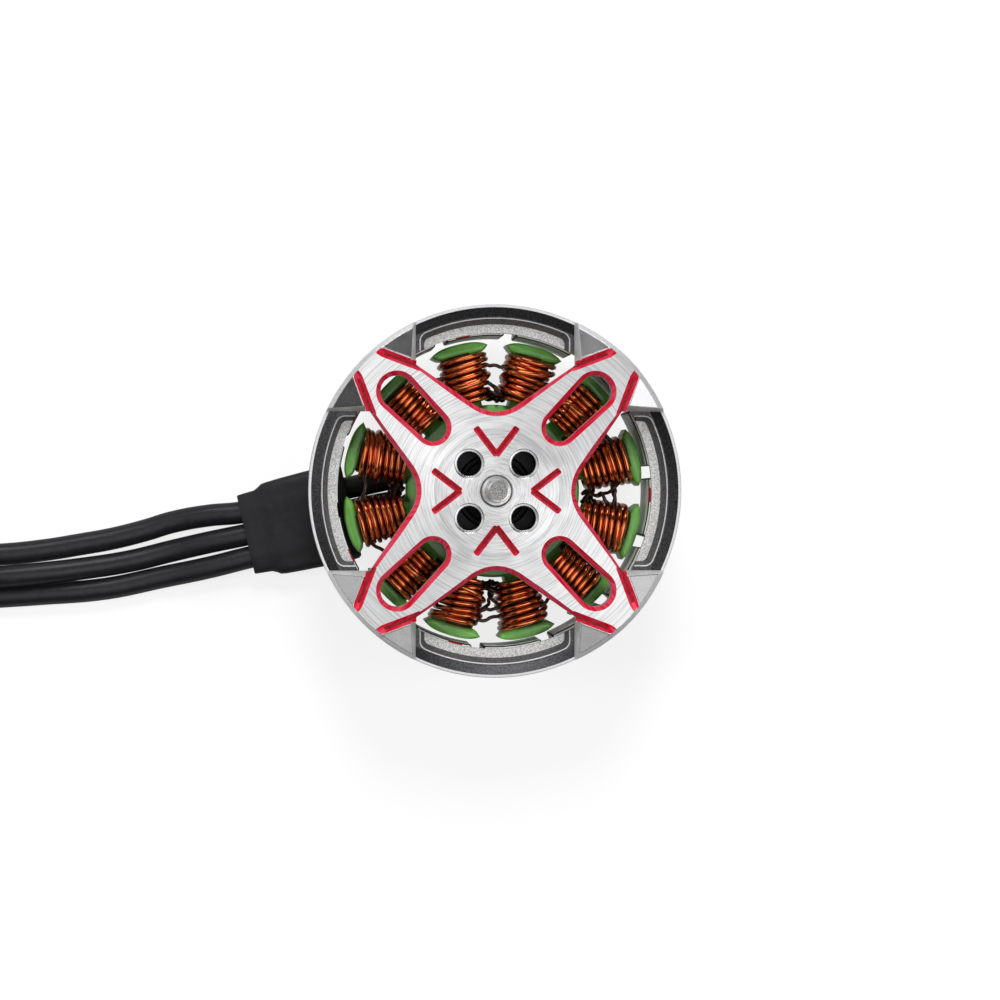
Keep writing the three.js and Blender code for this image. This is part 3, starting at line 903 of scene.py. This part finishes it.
def make_sleeve():
    """Shrink sleeve: it follows the three leads a little, and steps in before its outer end."""
    # Distance along the sleeve, half the width and half the height.
    stations = [
        *[(-2.6, 3.1, 0.98), (-2.45, 3.25, 1.04), (-1.6, 3.3, 1.05), (0.0, 3.28, 1.05), (1.6, 3.22, 1.05)],
        *[(2.6, 3.17, 1.04), (2.95, 3.12, 1.02), (3.2, 2.95, 0.96), (3.5, 2.8, 0.93), (4.2, 2.76, 0.92)],
        *[(4.6, 2.73, 0.91), (4.7, 2.68, 0.88)],
    ]
    sides, square, inside_square, groove = 72, 3.6, 5, 0.07
    inside_half, inside_tall = 2.42, 0.8
    turns = [tau * k / sides for k in range(sides)]
    sections = []
    for along, half, tall in stations:
        section = []
        for angle in turns:
            across = half * squared(cos(angle), square)
            up = tall * squared(sin(angle), square)
            up *= 1 - groove * (0.5 + 0.5 * cos(tau * (across / LEAD_PITCH + 0.5)))
            place = sleeve_point(along, across, SLEEVE_Z + up)
            crease = noise.noise(place * 0.9) * 0.07 + noise.noise(place * 2.3) * 0.03
            outwards = (place - sleeve_point(along, 0)).normalized()
            section.append(place + outwards * crease * -abs(crease / 0.1))
        sections.append(section)
    for along in (4.55, -2.5):
        section = []
        for angle in turns:
            across = inside_half * squared(cos(angle), inside_square)
            up = inside_tall * squared(sin(angle), inside_square)
            section.append(sleeve_point(along, across, SLEEVE_Z + up))
        sections.append(section)
    solid = loft(sections, SLEEVE, closed=True)
    return piece_of("shrink_sleeve", solid, "stator", ("lead_sleeve",), sharp=50)


def tie_outline(clearance, steps=24):
    """The tight loop round the leads at the coil's far left, as (x, z) from the coil's centre."""
    rim = []
    for lead in LEADS.values():
        turned = lead_course(lead)[1]
        passing = pi / 2
        while passing < turned:
            place = coil_point(lead["turn_radius"], passing) - COIL_CENTRE
            for k in range(steps):
                rim.append(Vector((place.x, place.z)) + polar(LEAD_RADIUS + clearance, tau * k / steps))
            passing += tau
    return [rim[k] for k in convex_hull_2d(rim)]


def make_tie():
    """A cable tie drawn tight round the coil: strap, lock and trimmed tail."""
    thick = 0.13
    centre_line = tie_outline(thick + 0.01)
    sections = []
    for k, here in enumerate(centre_line):
        ahead = (centre_line[(k + 1) % len(centre_line)] - centre_line[k - 1]).normalized()
        normal = Vector((ahead.y, -ahead.x))
        section = []
        for across, out in rounded(box(-1, -thick, 1, thick), 0.07, 3):
            place = here + normal * out
            section.append(Vector((place.x, across, place.y)))
        sections.append(section)
    strap = loft(sections, NYLON, closed=True)
    crest = max(centre_line, key=lambda p: p.y)
    lock = pillow(rounded(box(-1.2, -1.4, 1.2, 1.4), 0.3), -0.12, 0.88, 0.22, NYLON)
    tail = pillow(rounded(box(-2.4, -0.9, -1.1, 0.9), 0.2, 3), 0.28, 0.53, 0.08, NYLON)
    solid = strap.plus(lock.plus(tail).shifted(crest.x, 0, crest.y)).shifted(*COIL_CENTRE)
    return piece_of("coil_tie", solid, "stator", ("lead_coil_tie",), sharp=40)


def make_leads():
    sleeve, tie = make_sleeve(), make_tie()
    extra = {"lead_a": [tie], "lead_b": [sleeve], "lead_c": []}
    for name, lead in LEADS.items():
        cord, tip = make_lead(name, lead)
        nodes = (name, "lead_coil") if name == "lead_a" else (name,)
        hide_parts(*nodes)
        tuple(sleeve_point(-2.6, lead["across"]) * MM)
        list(extra[name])


make_leads()


# ---------------------------------------------------------------- bell


def window_v():
    """The V of one window that opens towards +Y, up to where its sides become parallel."""
    root = bend(Vector((-BEND_HALF, BEND_Y)), Vector((0, BEND_Y - 1)), Vector((BEND_HALF, BEND_Y)), 16)
    return [*root, Vector((WINDOW_HALF, CORNER_Y)), Vector((-WINDOW_HALF, CORNER_Y))]


def full_window():
    """The V and the rest of the window, between parallel walls out to the rim's inside."""
    steps = 24
    *start, last = window_v()
    across = [WINDOW_HALF * (1 - 2 * k / steps) for k in range(steps + 1)]
    return [*start, *[Vector((x, sqrt(RIM_INNER**2 - x * x))) for x in across], last]


def mouth(half, z):
    """The space between the window's parallel walls, with its sides at x = -half and x = half."""
    return at(box(-half, 8.5, half, 13), z)


def sector(profile, half, finishes, steps=40):
    """A profile of (radius, z) points turned about the Z axis, between walls at x = -half and x = half."""
    across = [half * (2 * k / steps - 1) for k in range(steps + 1)]
    sections = [[Vector((x, sqrt(r * r - x * x), z)) for r, z in profile] for x in across]
    return loft(sections, finishes, by_side=True)


def pocket(radius, half, corner, z):
    """Outline of the rim's pocket at one height, with rounded outer corners."""
    steps = 40
    outer = []
    for k in range(steps + 1):
        x = half * sin(pi / 2 * (1 - 2 * k / steps))
        past = max(0.0, abs(x) - (half - corner))
        drop = corner - sqrt(max(0.0, corner**2 - past**2))
        outer.append(Vector((x, sqrt(radius**2 - x * x) - drop, z)))
    inner_y = sqrt(10.1**2 - half**2)
    return [Vector((half, inner_y, z)), *outer, Vector((-half, inner_y, z))]


def groove_cutter(start, end, half_width, depth, tip=0.0):
    """A V-groove along the top face; its far end runs to a point when tip is more than zero."""
    along = (end - start).normalized()
    side = Vector((-along.y, along.x))
    spare, floor_share = 0.12, 0.38
    wide = half_width * (1 + spare / depth)
    round_off = wide * 0.45
    # Distance along the groove from one of its ends, and the share of the width there.
    outline = [(-round_off, 0.6, start), (0, 1, start), (-tip, 1, end), (-tip * 0.3, 0.75, end)]
    outline.append((round_off, 0.3 if tip else 0.6, end))
    plan = [from_point + along * a + side * wide * b * s for a, b, from_point in outline for s in (-1, 1)]
    ends = [start + along * half_width * 0.5, end - along * (tip + half_width * 0.5)]
    low = [point + side * half_width * floor_share * s for point in ends for s in (-1, 1)]
    points = at(plan, HUB_TOP + spare) + at(low, HUB_TOP - depth)
    # The groove's floor takes the darker red: painted shade in the groove.
    return hull(points, RED).dressed(RED_GROOVE_SHADE, lambda normal: abs(normal.z) > 0.9)


def facet_cutter():
    """The facet beside a window wall, which falls from the tick groove towards the rim."""
    return hull([p for corner in FACET for p in (corner, *at([corner], HUB_TOP + 0.5))], MILLED)


def facet_height(x, y):
    """Height of the facet's plane over a point of the plan."""
    normal = (FACET[1] - FACET[0]).cross(FACET[2] - FACET[0])
    return FACET[0].z - (normal.x * (x - FACET[0].x) + normal.y * (y - FACET[0].y)) / normal.z


def rim_edge_cutter():
    """The sloping outer edge of half an arm's end, which follows the facet down to the window wall."""
    steps, first, sweep = 16, 44.5, 22
    reach, fall, clear = 12.5, 0.6, 13.2
    sections = []
    for k in range(steps + 1):
        out = polar(1, radians(first + sweep * k / steps), 0)
        inner, outer = out * EDGE_RADIUS, out * reach
        top = min(HUB_TOP, facet_height(inner.x, inner.y))
        low = top - (reach - EDGE_RADIUS) * fall
        sections.append([inner + UP * top, outer + UP * low, outer + UP * clear, inner + UP * clear])
    return loft(sections, EDGE)


def bell_blank():
    """The bell as it leaves the lathe, with a hairline groove round the hub."""
    turns = (1.57, 1.1, 0.7, 0.35, 0)
    edge = [(ROTOR_RADIUS - 0.16 * (1 - sin(a)), HUB_TOP - 0.16 * (1 - cos(a))) for a in turns]
    hairline = [(4.13, HUB_TOP), (4.09, HUB_TOP - 0.008), (4.05, HUB_TOP - 0.008), (4.01, HUB_TOP)]
    under = [(1.03, 10.4), (4.0, 10.4), (4.6, SPIDER_BOTTOM), (RIM_INNER, SPIDER_BOTTOM)]
    rim = [(RIM_INNER, RIM_BOTTOM), (ROTOR_RADIUS - 0.12, RIM_BOTTOM), (ROTOR_RADIUS, RIM_BOTTOM + 0.12)]
    bore = [(1.09, HUB_TOP), (1.03, HUB_TOP - 0.06)]
    skins = [BLASTED] * 5 + [OUTER] * 6 + [TURNED] * 5 + [MILLED, BLASTED]
    return lathe([*under, *rim, *edge, *hairline, *bore], skins, 256)


def red_v_cutter():
    """The red chamfer along the V of a window, which ends where the parallel walls start."""
    spare = 0.15
    flare = offset(window_v(), CHAMFER + spare)
    slope = (WINDOW_HALF - BEND_HALF) / (CORNER_Y - BEND_Y)
    for k in (-2, -1):
        back = flare[k].y - CORNER_Y - 0.1
        flare[k] -= Vector((copysign(back * slope, flare[k].x), back))
    return loft([at(window_v(), HUB_TOP - CHAMFER), at(flare, HUB_TOP + spare)], RED)


def band_cutter():
    """The band round the top of the rim: it leans inwards to the pocket, past a narrow outer edge."""
    low = [(9.9, 10.72), (11.4, 10.72), (12.1, 11.04), (12.14, 11.04), (12.4, 10.74), (13, 10.7)]
    return sector([*low, (13, 13.5), (9.9, 13.5)], WINDOW_HALF, [RIM] * 3 + [OUTER] * 5 + [BLASTED])


def pocket_cutter():
    """The pocket in the rim, with a sloping wall and a narrow lip at its top."""
    rows = [
        (10.93, 4.6, 0.25, LEDGE),
        (10.97, 4.64, 0.28, LEDGE + 0.05),
        (11.27, 4.86, 0.33, LIP - 0.02),
        (11.34, 4.93, 0.36, LIP),
        (11.35, 4.94, 0.36, 11.6),
    ]
    # The pocket's sloping wall takes the dark grey finish: painted shade.
    return loft([pocket(*row) for row in rows], [POCKET_SHADE, POCKET_SHADE, SHOULDER, BLASTED, BLASTED])


def screw_hole():
    """One of the tapped holes of the propeller mount, with its countersink."""
    profile = [(0, 9.4), (0.8, 9.4), (0.8, HUB_TOP - 0.055), (0.93, HUB_TOP - 0.04), (1.0, HUB_TOP + 0.005)]
    profile += [(1.0, HUB_TOP + 0.1), (0, HUB_TOP + 0.1)]
    # The hole's walls are near black: painted shade inside the hole.
    return lathe(profile, [THREAD_SHADE, THREAD_SHADE] + [MILLED] * 5, 64).shifted(2.5, 0, 0)


def make_bell():
    through = loft([at(full_window(), 5), at(full_window(), HUB_TOP + 1)], BLASTED)
    shoulder = loft([mouth(WINDOW_HALF, 11.0), mouth(WINDOW_HALF + 0.42, 12.75)], SHOULDER)
    tick = groove_cutter(Vector((4.9, 8.04)), Vector((7.95, 9.19)), 0.26, 0.34, tip=0.6)
    chevron = groove_cutter(Vector((0, 2.36)), Vector((1.33, 4.09)), 0.2, 0.3)
    halves = [facet_cutter(), rim_edge_cutter(), tick, chevron]
    per_window = [through, red_v_cutter(), shoulder, band_cutter(), pocket_cutter(), *halves]
    per_window += [half.mirrored() for half in halves]
    slot = chamfered(capsule((5.83, 0.91), (9.12, 1.07)), 10.0, CHAMFER, BLASTED, RED)
    cutters = around(per_window, 4) + around([slot, screw_hole()], 4, pi / 4)
    mesh = carved("bell_machined", bell_blank(), cutters)
    return publish("bell_machined", mesh, "rotor", ("bell",), sharp=14)


# ---------------------------------------------------------------- the rest of the rotor, bearings and base


def make_ring():
    low, high = RING_BOTTOM, RIM_BOTTOM - 0.05
    inside = [(RING_INNER, low + 0.1), (RING_INNER + 0.1, low)]
    outside = [(ROTOR_RADIUS - 0.25, low), (ROTOR_RADIUS - 0.08, low + 0.06), (ROTOR_RADIUS, low + 0.22)]
    top = [(ROTOR_RADIUS, high - 0.06), (ROTOR_RADIUS - 0.06, high), (RING_INNER, high)]
    solid = lathe([*inside, *outside, *top], RING_STEEL, 256)
    piece_of("flux_ring_turned", solid, "rotor", ("flux_ring",))


def bevel_of(outward):
    """Tells the bevelled edges and corners of a block from its six sides, by their direction."""
    across = UP.cross(outward)

    def test(normal):
        flat = max(abs(normal.dot(outward)), abs(normal.dot(across)))
        return max(flat, abs(normal.z)) < 0.97

    return test


def arc_band(outer, inner, middle, half_arc, steps):
    """Plan outline of a piece of a ring, to both sides of an angle."""
    turns = [middle + half_arc * (2 * i / steps - 1) for i in range(steps + 1)]
    return [polar(outer, a) for a in turns] + [polar(inner, a) for a in reversed(turns)]


def polarity_mark(angle):
    """A dab of marker on the top edge of a magnet."""
    outline = arc_band(10.62, 10.26, angle + radians(4.5), radians(2.6), 6)
    return pillow(outline, 9.38, 9.43, 0.02, MARKING, 2)


def make_magnets():
    steps = 14
    corners = (0, steps, steps + 1, 2 * steps + 1)
    for k in range(MAGNETS):
        angle = MAGNET_PHASE + k * tau / MAGNETS
        plan = arc_band(RING_INNER - 0.05, MAGNET_INNER, angle, MAGNET_HALF_ARC, steps)
        block = pillow(rounded(plan, 0.16, corners=corners), 3.4, 9.4, 0.08, NICKEL, 3)
        # The bevelled edges and corners take the dark oxide: partly a glue line, partly painted shade in the
        # gaps round each magnet.
        solid = block.dressed(OXIDE_AND_SHADE, bevel_of(polar(1, angle, 0)))
        name = f"magnet_{k + 1:02d}"
        if k % 2 == 0:
            solid = solid.plus(polarity_mark(angle))
        piece_of(f"{name}_plated", solid, "rotor", (name,))


def make_shaft():
    low, clip, groove = 0.6, 1.7, 0.75
    foot = [(0.0, low), (SHAFT_RADIUS - 0.15, low), (SHAFT_RADIUS, low + 0.15), (SHAFT_RADIUS, clip - 0.35)]
    clip_groove = [(groove, clip - 0.35), (groove, clip), (SHAFT_RADIUS, clip)]
    step = [(SHAFT_RADIUS, HUB_TOP - 0.12), (0.93, HUB_TOP - 0.02), (0.8, HUB_TOP)]
    pilot = [(PILOT_RADIUS, HUB_TOP + 0.06), (PILOT_RADIUS, PILOT_TOP - 0.1)]
    rim = [(PILOT_RADIUS - 0.03, PILOT_TOP - 0.03), (PILOT_RADIUS - 0.15, PILOT_TOP)]
    dimple = [(PILOT_RADIUS - 0.18, PILOT_TOP - 0.03), (0.0, PILOT_TOP - 0.03)]
    profile = [*foot, *clip_groove, *step, *pilot, *rim, *dimple]
    skins = [STEEL] * 14 + [SHAFT_END, STEEL]
    piece_of("shaft_ground", lathe(profile, skins, 96), "rotor", ("shaft",), sharp=35)


def ring_solid(inner, outer, bottom, top, finish, edge=0.06):
    return lathe(rounded(box(inner, bottom, outer, top), edge, 3), finish, 96)


def make_bearings():
    for place, seat in (("lower", 2.1), ("upper", 6.9)):
        high = seat + 2.3
        rows = [
            ("inner_race", "rotor", ring_solid(1.03, 1.5, seat, high, STEEL)),
            # The outer race's near-black oxide is partly painted shade, so the screw holes above it look
            # dark.
            ("outer_race", "stator", ring_solid(2.15, 2.47, seat, high, OXIDE_AND_SHADE)),
            ("shield_bottom", "stator", ring_solid(1.56, 2.1, seat + 0.05, seat + 0.17, SEAL, 0.03)),
            ("shield_top", "stator", ring_solid(1.56, 2.1, high - 0.17, high - 0.05, SEAL, 0.03)),
        ]
        for part, body, solid in rows:
            node = f"bearing_{place}_{part}"
            piece_of(f"{node}_turned", solid, body, (node,))


def make_base():
    """Hub, bearing tube and four drilled arms in one piece."""
    seat, bore, stop = TUBE_RADIUS - 0.9, 1.9, 2.0
    foot = [(bore, 0.0), (5.2, 0.0), (5.4, 0.2), (5.4, 1.8), (5.2, 2.0)]
    fillet = [(TUBE_RADIUS + 0.25, 2.0), (TUBE_RADIUS + 0.07, 2.07), (TUBE_RADIUS, 2.25)]
    tube_top = [(TUBE_RADIUS, 9.2), (TUBE_RADIUS - 0.15, 9.35), (seat, 9.35)]
    inside = [(seat, 6.85), (stop, 6.85), (stop, 4.45), (seat, 4.45), (seat, 2.05), (bore, 2.05)]
    hub = lathe([*foot, *fillet, *tube_top, *inside], BLACK, 144)
    arm = pillow(capsule((4.4, 2.2), (6.6, 2.0)), 0, 2, 0.18, BLACK, 3)
    hole_profile = [(0, -0.2), (1.05, -0.2), (0.8, 0.12), (0.8, 1.88), (1.05, 2.2), (0, 2.2)]
    # The hole's walls are near black: painted shade inside the hole.
    hole = lathe(hole_profile, THREAD_SHADE, 48).shifted(6, 0, 0)
    mesh = carved("base_machined", hub, around([hole], 4, pi / 4), around([arm], 4, pi / 4))
    publish("base_machined", mesh, "stator", ("motor_base",))


# ---------------------------------------------------------------- stator


def tip_outline(length, thickness, z):
    """The lens-shaped tip of the tooth along +X at one height, shrunk by a length and a thickness factor."""
    half_arc = radians(11.5)
    steps = 14
    out = []
    for side in (1, -1):
        for k in range(steps):
            u = side * (1 - 2 * k / steps)
            inner, outer = 9.68 - 0.66 * sqrt(1 - u * u), 9.95 - 0.27 * u**4
            radius = (inner + outer) / 2 + side * (outer - inner) / 2 * thickness
            out.append(polar(radius, half_arc * length * u, z))
    return out


def make_stator():
    # Height, and how thick the tip is there.
    low = [(4.4, 0.8), (4.52, 0.93), (4.75, 1)]
    high = [(8.0, 1), (8.22, 0.97), (8.36, 0.88), (8.45, 0.73), (8.5, 0.5)]
    tip = loft([tip_outline(1 - 0.25 * (1 - f), f, z) for z, f in low + high], GREEN)
    neck = pillow(box(5.3, -0.62, 9.4, 0.62), STATOR_LOW, STATOR_HIGH - 0.02, 0.18, GREEN, 3)
    yoke = lathe(rounded(box(3.53, STATOR_LOW, YOKE_RADIUS, STATOR_HIGH), 0.25), GREEN, 144)
    mesh = carved("stator_coated", yoke, (), around([neck, tip], TEETH, TOOTH_PHASE))
    publish("stator_coated", mesh, "stator", ("stator_core",), sharp=42)


def wobble(rng, per_turn=4):
    """A smooth random function of the turn number, between -1 and 1."""
    table = [rng.uniform(-1, 1) for _ in range(64)]

    def value(turn):
        place = turn * per_turn
        k = int(place)
        t = ease(place - k)
        return table[k % 64] * (1 - t) + table[(k + 1) % 64] * t

    return value


def coil_half(radius):
    """Half the width of a winding at a distance from the axis."""
    narrow, wide = 1.36, 1.72
    return narrow + (wide - narrow) * (radius - COIL_INNER) / (COIL_OUTER - COIL_INNER)


def wrap(radius, turn, inset):
    """A point of a winding in the tooth's own axes: radius along the tooth, turn counted in whole loops."""
    crown, power = 0.1, 3.4
    s = sin(tau * turn)
    half = coil_half(radius) - WIRE_RADIUS - inset
    high, low = COIL_HIGH - WIRE_RADIUS - inset, COIL_LOW + WIRE_RADIUS + inset
    y = half * squared(cos(tau * turn), power)
    z = (high + low) / 2 + (high - low) / 2 * squared(s, power)
    z += crown * (1 - (y / half) ** 2) * (1 if s > 0 else -1)
    return Vector((radius, y, z))


def layer(rng, inset, turns, start, steps, loose):
    """One layer of a winding, whose turns sway along the tooth, lean and stand proud here and there."""
    sway, swell, shift = wobble(rng), wobble(rng, 2), wobble(rng, 1)
    lean = rng.uniform(-1, 1) * loose * 2.4
    path = []
    for turn in (k / steps for k in range(int(turns * steps) + 1)):
        radius = start + WIRE_PITCH * turn + loose * sway(turn)
        point = wrap(radius, turn, inset - 1.6 * loose * max(0, swell(turn)))
        point.y += 1.8 * loose * shift(turn)
        point.x += lean * point.y * min(1, turn, turns - turn)
        path.append(point)
    return path


def crossing(rng):
    """A strand that crosses over its neighbours on the way to the other end of the coil."""
    first_turn, turns, rise, steps = -0.08, 0.66, 0.27, 28
    begin = rng.uniform(6.5, 7.8)
    end = min(8.8, max(6.1, begin + rng.choice((-1, 1)) * rng.uniform(0.7, 1.3)))
    path = []
    for t in (k / steps for k in range(steps + 1)):
        radius = begin + (end - begin) * ease(t)
        path.append(wrap(radius, first_turn + turns * t, 0.02 - rise * sin(pi * t) ** 0.5))
    return path


def make_windings():
    """On each tooth: a layer of wire, a darker layer beneath it whose colour is painted shade, and up to two
    crossing strands.
    """
    rng = random.Random(11)
    for tooth in range(TEETH):
        outer = layer(rng, 0.0, 7.55, COIL_INNER + 0.17, 30, 0.06)
        inner = layer(rng, 0.34, 7.3, COIL_INNER + 0.35, 24, 0.02)
        bars = [tube(outer, WIRE_RADIUS, COPPER, 12), tube(inner, WIRE_RADIUS, SHADED, 8)]
        bars += [tube(crossing(rng), WIRE_RADIUS, COPPER, 12) for _ in range(rng.choice((0, 1, 1, 2)))]
        name = f"winding_{tooth + 1:02d}"
        solid = merged(bars).turned(TOOTH_PHASE + tooth * tau / TEETH)
        piece_of(f"{name}_wire", solid, "stator", (name,), sharp=60)


def gap(radius):
    """Half the space between two windings at a distance from the axis."""
    return tan(pi / TEETH) * radius - coil_half(radius)


def bridge(rng, *limits):
    """A wire from one coil to the next; limits are for its two distances from the axis, height and sag."""
    near, far, height, sag = [rng.uniform(*pair) for pair in limits]
    points = []
    for t in (i / 4 - 1 for i in range(9)):
        radius = near + (far - near) * (t + 1) / 2 + rng.uniform(-0.06, 0.06)
        points.append((radius, t * max(0.45, gap(radius) + 0.35), height - sag * (1 - t * t)))
    return tube(smooth_path(points, 5), TAIL_RADIUS, VARNISH_AND_SHADE, 8)


def straggler(rng):
    """A wire that wanders outwards between two coils and tucks in beside one of them."""
    begin = 5.9
    reach, side = rng.uniform(7.0, 8.5), rng.choice((-1, 1))
    points = []
    for t in (i / 7 for i in range(8)):
        radius = begin + (reach - begin) * t
        free = gap(radius)
        across = side * (free + 0.2) * ease((t - 0.65) / 0.35) + rng.uniform(-0.9, 0.9) * free * (1 - t)
        points.append((radius, across, rng.uniform(8.1, 8.9)))
    return tube(smooth_path(points, 5), TAIL_RADIUS, VARNISH_AND_SHADE, 8)


def make_tails():
    """Wires that carry each phase from coil to coil, in the gaps between the coils, near black partly from
    varnish and partly from painted shade.
    """
    rng = random.Random(5)
    by_hub = ((5.95, 6.5), (5.95, 6.9), (6.6, 8.9), (-0.5, 0.9))
    by_rim = ((7.9, 8.8), (7.3, 8.7), (8.2, 8.9), (-0.3, 0.3))
    for k in range(TEETH):
        strands = [bridge(rng, *by_hub) for _ in range(7)]
        strands += [bridge(rng, *by_rim) for _ in range(rng.choice((1, 2)))]
        strands += [straggler(rng), straggler(rng)]
        solid = merged(strands).turned(TOOTH_PHASE + (k + 0.5) * tau / TEETH)
        piece_of(f"phase_wires_{k + 1:02d}", solid, "stator", sharp=60)


def dress_nodes():
    """Finishes for the CAD parts that are shown as they are."""
    finishes = {
        STEEL: ("shaft_circlip", "shaft_washer"),
        BRASS: ("hub_spacer", "bearing_lower_ball_cage", "bearing_upper_ball_cage"),
        SOLDER: ("splice_a", "splice_b", "splice_c"),
    }
    for finish, names in finishes.items():
        for node in (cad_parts[name] for name in names):
            if not node.material_slots:
                node.data.materials.append(finish)
            for holder in node.material_slots:
                holder.material = finish


make_bell()
make_ring()
make_magnets()
make_shaft()
make_bearings()
make_base()
make_stator()
make_windings()
make_tails()
dress_nodes()


# ---------------------------------------------------------------- floor and light

# Name, azimuth and angle from the zenith in degrees, and power in watts.
KEY_LIGHTS = (("key_back", 90, 38, 0.9), ("key_left", 178, 42, 0.45), ("key_right", 2, 42, 0.4))
KEY_SIZE = 0.14
KEY_DISTANCE = 0.48

# What the metal mirrors. Azimuth and angle from the zenith, half-angles of the full patch and of its
# faded edge, all in degrees, and strength: a softbox overhead, and three smaller ones round it.
SOFTBOXES = ((100, 3, 18, 47, 1.3), (90, 56, 9, 20, 5.2), (338, 34, 8, 26, 1.15), (170, 82, 20, 45, 0.9))
# Three dark cards in front of them; here the strength is the share of the light that each takes away.
CARDS = ((67, 31, 16, 23, 0.99), (206, 34, 16, 26, 0.99), (112, 38, 9, 17, 0.7))
DARK_WALLS = 0.02
# The share of the world's light that dull surfaces don't get, because the key lights light them.
DULL_CUT = 0.55

# How brightly the floor glows for each kind of ray, and the grey that takes the shadow.
FLOOR_GLOW = (("Is Camera Ray", 0.8), ("Is Glossy Ray", 0.15), ("Is Diffuse Ray", 0.8))
FLOOR_GREY = (0.28, 0.28, 0.28, 1)


def make_floor():
    bm = bmesh.new()
    bmesh.ops.create_grid(bm, x_segments=4, y_segments=4, size=2.0)
    mesh = bpy.data.meshes.new("floor")
    bm.to_mesh(mesh)
    bm.free()
    floor = put("floor", mesh)
    floor.location.z = -0.02 * MM
    material = bpy.data.materials.new("floor")
    mesh.materials.append(material)
    nodes = Nodes(material)
    nodes.tree.nodes.clear()
    seen = nodes.add("LightPath")
    strength = 0.0
    for ray, level in FLOOR_GLOW:
        strength = nodes.maths("MULTIPLY_ADD", seen.outputs[ray], level, strength)
    glow = nodes.add("Emission", {"Strength": strength})
    matt = nodes.add("BsdfDiffuse", {"Color": FLOOR_GREY})
    both = nodes.add("AddShader", {0: glow.outputs[0], 1: matt.outputs[0]})
    nodes.add("OutputMaterial", {"Surface": both.outputs[0]})


def direction(azimuth, off_zenith):
    a, b = radians(azimuth), radians(off_zenith)
    return (cos(a) * sin(b), sin(a) * sin(b), cos(b))


def make_world():
    """Dark walls with softboxes and dark cards, mirrored by the metal, and plain white for the camera."""
    world = bpy.data.worlds.new("studio")
    bpy.context.scene.world = world
    nodes = Nodes(world)
    nodes.tree.nodes.clear()
    way = nodes.add("TexCoord").outputs["Generated"]

    def patch(azimuth, off_zenith, full, edge, level):
        """level inside a cone of half-angle full, fading to nothing at half-angle edge."""
        wires = {0: way, 1: direction(azimuth, off_zenith)}
        near = nodes.add("VectorMath", wires, operation="DOT_PRODUCT").outputs["Value"]
        low, high = cos(radians(edge)), cos(radians(full))
        return nodes.span(near, low, high, 0.0, level, interpolation_type="SMOOTHSTEP")

    light = DARK_WALLS
    for row in SOFTBOXES:
        light = nodes.maths("ADD", light, patch(*row))
    for row in CARDS:
        light = nodes.maths("MULTIPLY", light, nodes.maths("SUBTRACT", 1.0, patch(*row)))
    seen = nodes.add("LightPath").outputs
    kept = nodes.maths("SUBTRACT", 1.0, nodes.maths("MULTIPLY", seen["Is Diffuse Ray"], DULL_CUT))
    dim = nodes.add("Background", {"Strength": nodes.maths("MULTIPLY", light, kept)})
    white = nodes.add("Background", {"Strength": 1.0})
    wires = {0: seen["Is Camera Ray"], 1: dim.outputs[0], 2: white.outputs[0]}
    pick = nodes.add("MixShader", wires)
    nodes.add("OutputWorld", {"Surface": pick.outputs[0]})


def make_lights():
    """Soft lights that fall through the windows from behind and from both sides."""
    for name, azimuth, off_zenith, energy in KEY_LIGHTS:
        data = bpy.data.lights.new(name, "AREA")
        data.shape = "DISK"
        data.size = KEY_SIZE
        data.energy = energy
        lamp = put(name, data)
        lamp.visible_glossy = False
        lamp.location = Vector(direction(azimuth, off_zenith)) * KEY_DISTANCE
        lamp.rotation_mode = "QUATERNION"
        lamp.rotation_quaternion = Vector(lamp.location).to_track_quat("Z", "Y")


make_floor()
make_world()
make_lights()
bpy.context.scene.view_settings.view_transform = "Standard"
